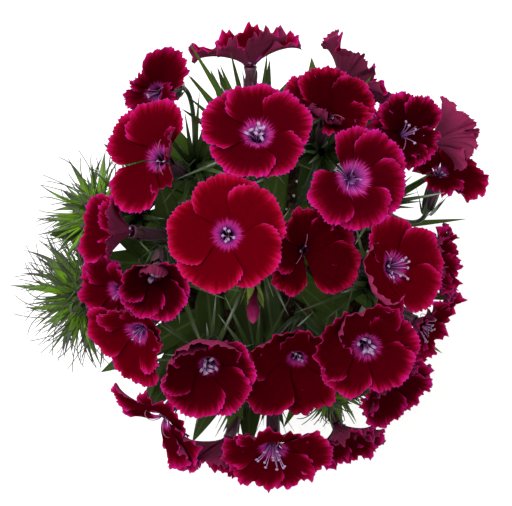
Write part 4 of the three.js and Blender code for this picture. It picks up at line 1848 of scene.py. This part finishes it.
@dataclass(frozen=True)
class Soil:
    """Damp potting soil: a mounded plug with crumbs, and grains of white grit.

    It is clear of the pot's wall at its surface, and by four times as much at the floor. The sizes are
    the smallest and the largest radius of a crumb or a grain.
    """

    level: float = 74.0
    swell: float = 2.2
    clear: float = 0.2
    crumbs: int = 900
    crumb_sizes: tuple[float, float] = (0.5, 2.1)
    grit: int = 70
    grit_sizes: tuple[float, float] = (0.5, 1.2)
    rings: int = 46
    sides: int = 150

    def height(self, x: np.ndarray, y: np.ndarray, edge: float) -> np.ndarray:
        """Height of the surface: a mound, plus waves of three sizes that cross each other.

        Args:
            x: Places.
            y: Places.
            edge: Radius of the surface.

        Returns:
            Heights of the same shape.
        """
        mound = self.level + self.swell * (1 - (x**2 + y**2) / edge**2)
        waves = 0.55 * np.sin(0.31 * x + 1.1) * np.cos(0.27 * y - 0.4)
        waves = waves + 0.35 * np.sin(0.9 * x - 0.5 * y) * np.cos(0.8 * y + 0.4 * x)
        return mound + waves + 0.22 * np.sin(2.3 * x + 0.7 * y) * np.sin(2.1 * y - 0.9 * x)

    def plug(self, pot: Pot) -> Skin:
        """The body of the soil: rings from the middle of its surface to the wall, then down to its floor.

        Args:
            pot: The pot that it fills.

        Returns:
            The body.
        """
        edge = pot.radius(self.level) - pot.wall - self.clear
        bottom = pot.floor + SEAT
        low = pot.radius(bottom) - pot.wall - 4 * self.clear
        radius = np.concatenate([np.linspace(0.6, edge, self.rings), [low, 1.0]])
        grid = rings(radius[:, None], 0.0, corners(self.sides))
        grid[..., 2] = self.height(grid[..., 0], grid[..., 1], edge)
        grid[:, -2:, :, 2] = bottom
        return wrapped(grid, shading(grid), Dress.SOIL)

    def grains(self, pot: Pot, count: int, sizes: tuple[float, float], dress: Dress) -> Skin:
        """Uneven twenty-sided lumps half sunk in the surface, at seeded places.

        Each lump is the even one, stretched along X, Y and Z, with each corner moved in or out.

        Args:
            pot: The pot that the soil fills.
            count: Number of lumps.
            sizes: Smallest and largest radius.
            dress: What they are made of.

        Returns:
            The lumps.
        """
        chance = np.random.default_rng([SEED, count])
        edge = pot.radius(self.level) - pot.wall - 2 * self.clear
        size = mix(*sizes, chance.uniform(0, 1, count) ** 2.2)
        radius = (edge - size) * np.sqrt(chance.uniform(0, 1, count))
        angle = chance.uniform(0, TURN, count)
        x, y = radius * np.cos(angle), radius * np.sin(angle)
        centre = np.stack([x, y, self.height(x, y, edge) + 0.1 * size], -1)
        knobs, faces = lump()
        stretch = chance.uniform(0.7, 1.25, (count, 1, 3))
        stretch = stretch * chance.uniform(0.8, 1.15, (count, len(knobs), 1))
        points = centre[:, None] + knobs[None] * stretch * size[:, None, None]
        return assembled(points, faces, shading(points), dress, chance.uniform(0, 1, count))

    def build(self, pot: Pot) -> bpy.types.Object:
        """Makes the soil.

        Args:
            pot: The pot that it fills.

        Returns:
            The piece.
        """
        parts = [
            self.plug(pot),
            self.grains(pot, self.crumbs, self.crumb_sizes, Dress.CRUMB),
            self.grains(pot, self.grit, self.grit_sizes, Dress.GRIT),
        ]
        return piece("potting_soil", Skin.join(parts), ["soil"])


# --- the plant --------------------------------------------------------------------------------------

FLORETS = (
    Floret(1, (-3.5, 40, 178), 28, 92, 18, 40, (14, 12, 12, 14, 10), Look(Stage.OPEN, 0.8, 1.1, 0.1, 1,
           (1.02, 1, 1.06, 1.02, 0.98), (8, 0, -6, 4, 0))),
    Floret(2, (-13.5, 7, 187), 4, 150, 26, 42, (6, 8, 6, 8, 8), Look(Stage.YOUNG, 0.15, 1, 0, 0.8,
           (1.01, 1.03, 1.02, 1.02, 1), (4, -10, 6, 0, 6))),
    Floret(3, (28, 26, 178), 16, 0, 42, 38, (12, 16, 22, 16, 10), Look(Stage.RAYED, 1, 1.25, 0, 1.2,
           (1.08, 1, 1.08, 1, 1.05), (-10, -26, 28, 20, 10), (1, 0.78, 0.8, 1, 1))),
    Floret(4, (41, -4, 172), 26, 0, 20, 39, (12, 14, 36, 34, 18), Look(Stage.SHEDDING, 0.5, 1.1, 0, 1,
           (1.05, 1, 1.5, 1.15, 1.05), (0, 16, 34, 8, 18), (1, 1.1, 0.9, 0.5, 0.76),
           (0, 0, 95, 30, 0))),
    Floret(5, (33, -29.6, 172), 20, -75, 26, 41, (26, 28, 26, 20, 18), Look(Stage.OPEN, 0.6, 1.1, 0.25,
           1.3, (1, 1.25, 1.2, 1, 0.95), (0, 0, -4, -8, 8), (1, 1, 1, 0.8, 0.9), (0, 85, 60, 0, 0))),
    Floret(6, (10, -34, 161), 32, -95, 54, 39, (28, 30, 28, 6, 14), Look(Stage.YOUNG, 0.4, 0.8, 0.3,
           1.3, (1.3, 1.35, 1.35, 1.22, 0.95), (0, 0, 14, 8, 0), (1.1, 1.1, 0.9, 0.95, 1),
           (40, 60, 50, 0, 0))),
    Floret(7, (-20, -36, 169), 20, -100, 18, 40, (34, 40, 38, 30, 34), Look(Stage.OPEN, 0.7, 0.9, 0.4,
           0.9, (1.05, 1.35, 1.2, 1.05, 1.05), fold=(0, 70, 85, 0, 0))),
    Floret(8, (-38, -5, 167), 20, -95, 20, 39, (54, 58, 54, 44, 50), Look(Stage.OPEN, 0.8, 0.8, 0.6,
           0.6, (1.1, 1.05, 1.1, 1, 1.1), fold=(0, 90, 30, 0, 0))),
    Floret(9, (-43.5, -25, 151), 34, 222, 40, 42, (32, 42, 8, 8, 36), Look(Stage.RAYED, 0.5, 1.1, 0, 1,
           (0.9, 0.9, 1.0, 1.04, 0.85), (0, 0, -2, 8, 0), (1, 1, 0.9, 0.88, 1), (40, 50, 0, 0, 30))),
    Floret(10, (-36.5, 33, 157), 26, 150, -1, 42, (50, 18, 10, 10, 20), Look(Stage.STYLED, 0.6, 1, 0,
           1.2, (0.95, 1.04, 1.06, 1.1, 0.84), (22, 22, 0, 18, 8), (0.55, 1.05, 0.82, 0.84, 0.6),
           (70, 0, 0, 0, 60))),
    Floret(11, (-38.5, 57, 143), 24, 200, 50, 37, (20, 58, 50, 36, 44), Look(Stage.SHEDDING, 0.9, 1,
           0.1, 2, (1.15, 0.75, 0.75, 0.8, 0.8), (4, 0, 0, 0, 0), (0.75, 0.8, 0.8, 0.8, 0.8))),
    Floret(12, (-6, 67, 142), 74, 90, 18, 41, (20, 30, 6, 40, 52), Look(Stage.YOUNG, 0.9, 1, 0.1, 2.8,
           (1, 1, 1.1, 0.8, 0.95), (6, 0, 4, 6, 0), (0.8, 1, 0.6, 0.9, 0.85))),
    Floret(13, (21, 48, 160), 28, 70, 20, 36, (26, 24, 22, 46, 30), Look(Stage.STYLED, 0.3, 0.35, 0.6,
           1.8, (1, 1.02, 1.12, 0.95, 0.95), (0, 16, 4, 0, 0), fold=(30, 0, 0, 120, 0))),
    Floret(14, (26, 60, 138), 88, 56, 30, 38, (30, 38, 40, 44, 6), Look(Stage.YOUNG, 0.9, 1, 0.7, 3.2,
           (1, 1.1, 1, 0.9, 1.15), (0, 14, 0, 0, 16), (0.8, 0.3, 0.7, 0.9, 0.9), (0, 0, 0, 60, 30))),
    Floret(15, (46.8, 41.6, 156), 20, 20, 40, 33, (45, 20, 20, 34, 44), Look(Stage.SHEDDING, 0.8, 0.35,
           0.7, 2.2, (1.1, 0.98, 1, 1, 0.95), (12, 0, 0, 0, 0), (0.7, 1, 1, 1, 0.9), (0, 0, 0, 0, 30))),
    Floret(16, (61, 29, 130), 42, 75, 52, 34, (20, 22, 20, 20, 6), Look(Stage.YOUNG, 0.6, 0.6, 0.3, 2.2,
           (0.85, 1, 1, 0.9, 1.1), (0, 0, -24, 0, -14), (0.7, 0.8, 0.8, 0.9, 0.9), (0, 0, 60, 0, 0))),
    Floret(17, (55.5, -2, 138), 70, 4, 30, 33, (30, 36, 30, 28, 36), Look(Stage.YOUNG, 0.7, 0.8, 0.45,
           2.2, fold=(40, 0, 60, 30, 0))),
    Floret(18, (52.5, -23.5, 136), 76, -34, 20, 35, (20, 20, 14, 22, 26), Look(Stage.SHEDDING, 0.7, 0.8,
           0.3, 2.2, (1.15, 1, 1, 1, 1), fold=(0, 0, 0, 0, 40))),
    Floret(19, (40, -42, 142), 60, -50, 40, 36, (30, 32, 30, 30, 26), Look(Stage.YOUNG, 0.9, 0.7, 0.5,
           1.8, (1.05, 1, 1, 1.1, 1.12), fold=(0, 60, 0, 40, 20))),
    Floret(20, (2, -66, 144), 42, -90, 18, 41, (14, 28, 14, 16, 16), Look(Stage.SHEDDING, 0.7, 1, 0.2,
           1.8, (1.12, 1.1, 0.98, 0.93, 0.93), (-4, 0, 4, 2, -4), (0.76, 1, 0.8, 1, 1),
           (0, 25, 20, 0, 0))),
    Floret(21, (25, -60, 132), 66, -70, 20, 34, (30, 36, 36, 30, 30), Look(Stage.YOUNG, 0.8, 0.6, 0.5,
           2.2, (1.1, 1.1, 1.1, 1.1, 1.1), fold=(40, 0, 50, 0, 30))),
    Floret(22, (-13.5, -65.4, 128), 78, -104, 40, 34, (30, 38, 8, 32, 30), Look(Stage.YOUNG, 0.8, 0.8,
           0.4, 2.2, (1, 1.1, 1.3, 1.05, 1), fold=(0, 50, 0, 50, 0))),
    Floret(23, (-36.6, -57, 134), 60, 234, 54, 39, (10, 2, -6, 20, 20), Look(Stage.STYLED, 1, 0.9, 0.1,
           2, (1.0, 1.14, 1.12, 1.05, 1.2), (0, 24, -18, 32, -14), (1.1, 0.24, 0.26, 0.75, 0.9),
           (30, 30, 0, 30, 20))),
    Floret(24, (-48, 8.5, 148), 48, 172, 30, 38, (70, 30, 14, 34, 66), Look(Stage.YOUNG, 0.7, 0.8, 0.25,
           0.8, (0.9, 0.8, 1.15, 0.74, 0.9), (0, 18, 0, -16, 0), (1.2, 1, 1.1, 1, 1.2))),
    Floret(25, (-52, -12, 139), 44, 190, 30, 33, (30, 30, 20, 20, 30),
           Look(Stage.RAYED, 0.9, 0.8, 0.1, 1.5)),
    Floret(26, (12, 2, 170), 12, 0, 27, 38, (22, 34, 40, 28, 18), Look(Stage.STYLED, 0.2, 0.35, 0.5,
           1.2, (1, 1, 1, 1.08, 1.14), (0, 0, 0, -8, 14), (1, 1, 1, 0.64, 0.76), (0, 20, 0, 0, 0))),
    Floret(27, (57, 40, 147.5), 82, 20, 41, 34, (20, 40, 75, 70, 20), Look(Stage.YOUNG, 0.9, 0.8, 0.1,
           2, (1, 1, 1.15, 1.05, 1), (0, 0, 28, -8, 0), (0.9, 0.9, 1.15, 1, 0.9))),
)

SHOOTS = (
    Shoot("shoot_middle", (-2, 2), (-3, 1, 138), (2, 26), tuft=26, buds=(Bud("bud_middle",
          (-5, -16, 160), 62, -90),), leaves=(Blade(0.5, 77, 40, 8), Blade(0.66, 37, 36, 2),
          Blade(0.5, -2, 40, 8), Blade(0.66, -40, 38, 2), Blade(0.5, -82, 40, 6),
          Blade(0.6, -121, 25, 4), Blade(0.5, -157, 34, 8), Blade(0.66, 161, 34, 4),
          Blade(0.5, 117, 32, 8))),
    Shoot("shoot_back", (-3, 22), (-4, 38, 132), (1, 12), 111, (Blade(0.8, 70, 30, -4),
          Blade(0.9, 112, 34, -8, 0.26), Blade(0.95, 132, 36, -4, 0.26), Blade(0.86, 146, 32, 0, 0.26),
          Blade(0.95, 122, 44, -8, 0.22), Blade(0.88, 104, 38, -8, 0.22),
          Blade(0.92, 140, 31, -4, 0.22), Blade(0.84, 128, 38, 2, 0.3), Blade(0.9, 84, 36, -6, 0.22)),
          low_breadth=0.5),
    Shoot("shoot_back_right", (12, 18), (19, 36, 130), (3, 13, 14), 69, (Blade(0.92, 94, 36, -2, 0.8),
          Blade(0.94, 58, 34, -4, 0.5))),
    Shoot("shoot_right", (24, 8), (39, 18, 122), (15, 16, 27), 31, (Blade(0.9, 108, 34, -10, 0.6),
          Blade(0.84, 70, 26, -6, 0.5), Blade(0.92, 98, 45, -4, 0.6), Blade(0.86, 88, 46, -2, 0.5)),
          low_breadth=0.25),
    Shoot("shoot_front_right", (23, -9), (36, -10, 124), (4, 17, 18), -8, low_breadth=0.4),
    Shoot("shoot_front", (12, -21), (24, -32, 122), (5, 19, 21), -47, (Blade(0.82, 75, 26, -6),
          Blade(0.9, -104, 26, -6, 0.6), Blade(0.94, -120, 34, -6, 0.5)),
          heads=(BristlyHead((22, -47, 142), 62, -78, 3.5, 10, 13),)),
    Shoot("shoot_front_left", (-6, -24), (-4, -38, 122), (6, 20), -91, (Blade(0.85, 100, 26, -8),
          Blade(0.92, -112, 26, -8, 0.8), Blade(0.86, -68, 27, -6, 0.6))),
    Shoot("shoot_low_left", (-19, -17), (-20, -36, 124), (7, 22, 23), -125, (Blade(0.82, 95, 24, -6),
          Blade(0.9, -66, 28, -8, 0.9), Blade(0.8, -96, 26, -2, 0.5))),
    Shoot("shoot_left", (-24, -2), (-32, -8, 124), (8, 9, 24, 25), leaves=(Blade(0.3, 180, 48, 14),
          Blade(0.84, 150, 22, -8, 0.6), Blade(0.78, 153, 29, 0, 0.9), Blade(0.8, 106, 38, 2, 1))),
    Shoot("shoot_back_left", (-17, 16), (-26, 32, 122), (10, 11), 150, (Blade(0.8, 60, 28, -4),
          Blade(0.66, 214, 34, 2, 0.7), Blade(0.9, 72, 34, -6, 0.5))),
    Shoot("shoot_bristly_left", (-28, -9), (-46, -12, 98), leaves=(Blade(0.6, 215, 40, 14),), tuft=0,
          heads=(BristlyHead((-65, -14, 108), 66, 200, 7, 37, 22),)),
    Shoot("shoot_bristly_back", (-28, 7), (-46, 14, 104), leaves=(Blade(0.7, 165, 34, 2),
          Blade(0.95, 190, 34, -2, 1.25), Blade(0.9, 10, 28, -4)), tuft=30,
          heads=(BristlyHead((-61, 15, 118), 66, 150, 5, 18, 20),)),
)


# --- studio -----------------------------------------------------------------------------------------


@dataclass(frozen=True)
class Studio:
    """A pale floor, soft light all round and from above, and a camera that looks straight down.

    Attributes:
        lens_at: Where the camera stands.
        frame_width: Width of the view, at a distance of a metre.
        sensor: Sensor width.
        floor_half: Half the floor's side.
        floor_thickness: Of the slab, whose top is just under the pot.
        sky: Strength of the light from all round.
        lamp_at: Where the lamp stands.
        lamp_aim: What it faces.
        lamp_side: Side of its square.
        lamp_power: In watts.
    """

    lens_at: tuple[float, float, float] = (-4.0, 1.0, 1130.0)
    frame_width: float = 181.2
    sensor: float = 36.0
    floor_half: float = 6000.0
    floor_thickness: float = 20.0
    sky: float = 1.25
    lamp_at: tuple[float, float, float] = (-450.0, 500.0, 1350.0)
    lamp_aim: tuple[float, float, float] = (0.0, 0.0, 150.0)
    lamp_side: float = 600.0
    lamp_power: float = 14.0

    def build(self) -> None:
        """Makes the floor, the lights and the camera, and shows colours as they are."""
        self.floor()
        self.world()
        self.lamp()
        self.camera()
        view = bpy.context.scene.view_settings
        view.view_transform = "Standard"
        view.look = "None"
        view.exposure = 0.0

    def floor(self) -> None:
        """A thin square slab just under the pot."""
        half = self.floor_half
        corner = np.array([[-half, -half], [half, -half], [half, half], [-half, half]])
        slab = np.stack([np.insert(corner, 2, z, axis=1) for z in (-self.floor_thickness, 0.0)])[None]
        obj = mesh_object("floor", wrapped(slab, shading(slab), Dress.FLOOR))
        obj.data.polygons.foreach_set("use_smooth", np.zeros(len(obj.data.polygons), bool))

    def world(self) -> None:
        """Even white light from all round."""
        world = bpy.data.worlds.new("studio")
        world.use_nodes = True
        background = world.node_tree.nodes["Background"]
        background.inputs["Color"].default_value = (1, 1, 1, 1)
        background.inputs["Strength"].default_value = self.sky
        bpy.context.scene.world = world

    def lamp(self) -> None:
        """A square soft light that faces the top of the plant."""
        light = bpy.data.lights.new("key_light", "AREA")
        light.size = self.lamp_side * MM
        light.energy = self.lamp_power
        obj = bpy.data.objects.new("key_light", light)
        obj.location = [value * MM for value in self.lamp_at]
        away = Vector(self.lamp_at) - Vector(self.lamp_aim)
        obj.rotation_euler = away.to_track_quat("Z", "Y").to_euler()
        bpy.context.scene.collection.objects.link(obj)

    def camera(self) -> None:
        """A long lens straight above, with +Y up in its view."""
        lens = bpy.data.cameras.new("camera")
        lens.sensor_width = self.sensor
        lens.lens = self.sensor * 1000.0 / self.frame_width
        lens.clip_end = 20.0
        obj = bpy.data.objects.new("camera", lens)
        obj.location = [value * MM for value in self.lens_at]
        bpy.context.scene.collection.objects.link(obj)
        bpy.context.scene.camera = obj


def main() -> None:
    """Builds the plant from the pot up, then the studio."""
    logging.basicConfig(level=logging.INFO, format="%(message)s")
    pot = Pot()
    pot.build()
    Soil().build(pot)
    for floret in FLORETS:
        floret.build()
    for shoot in SHOOTS:
        shoot.build(FLORETS)
        for bud in shoot.buds:
            bud.build()
    Studio().build()


if __name__ == "__main__":
    main()
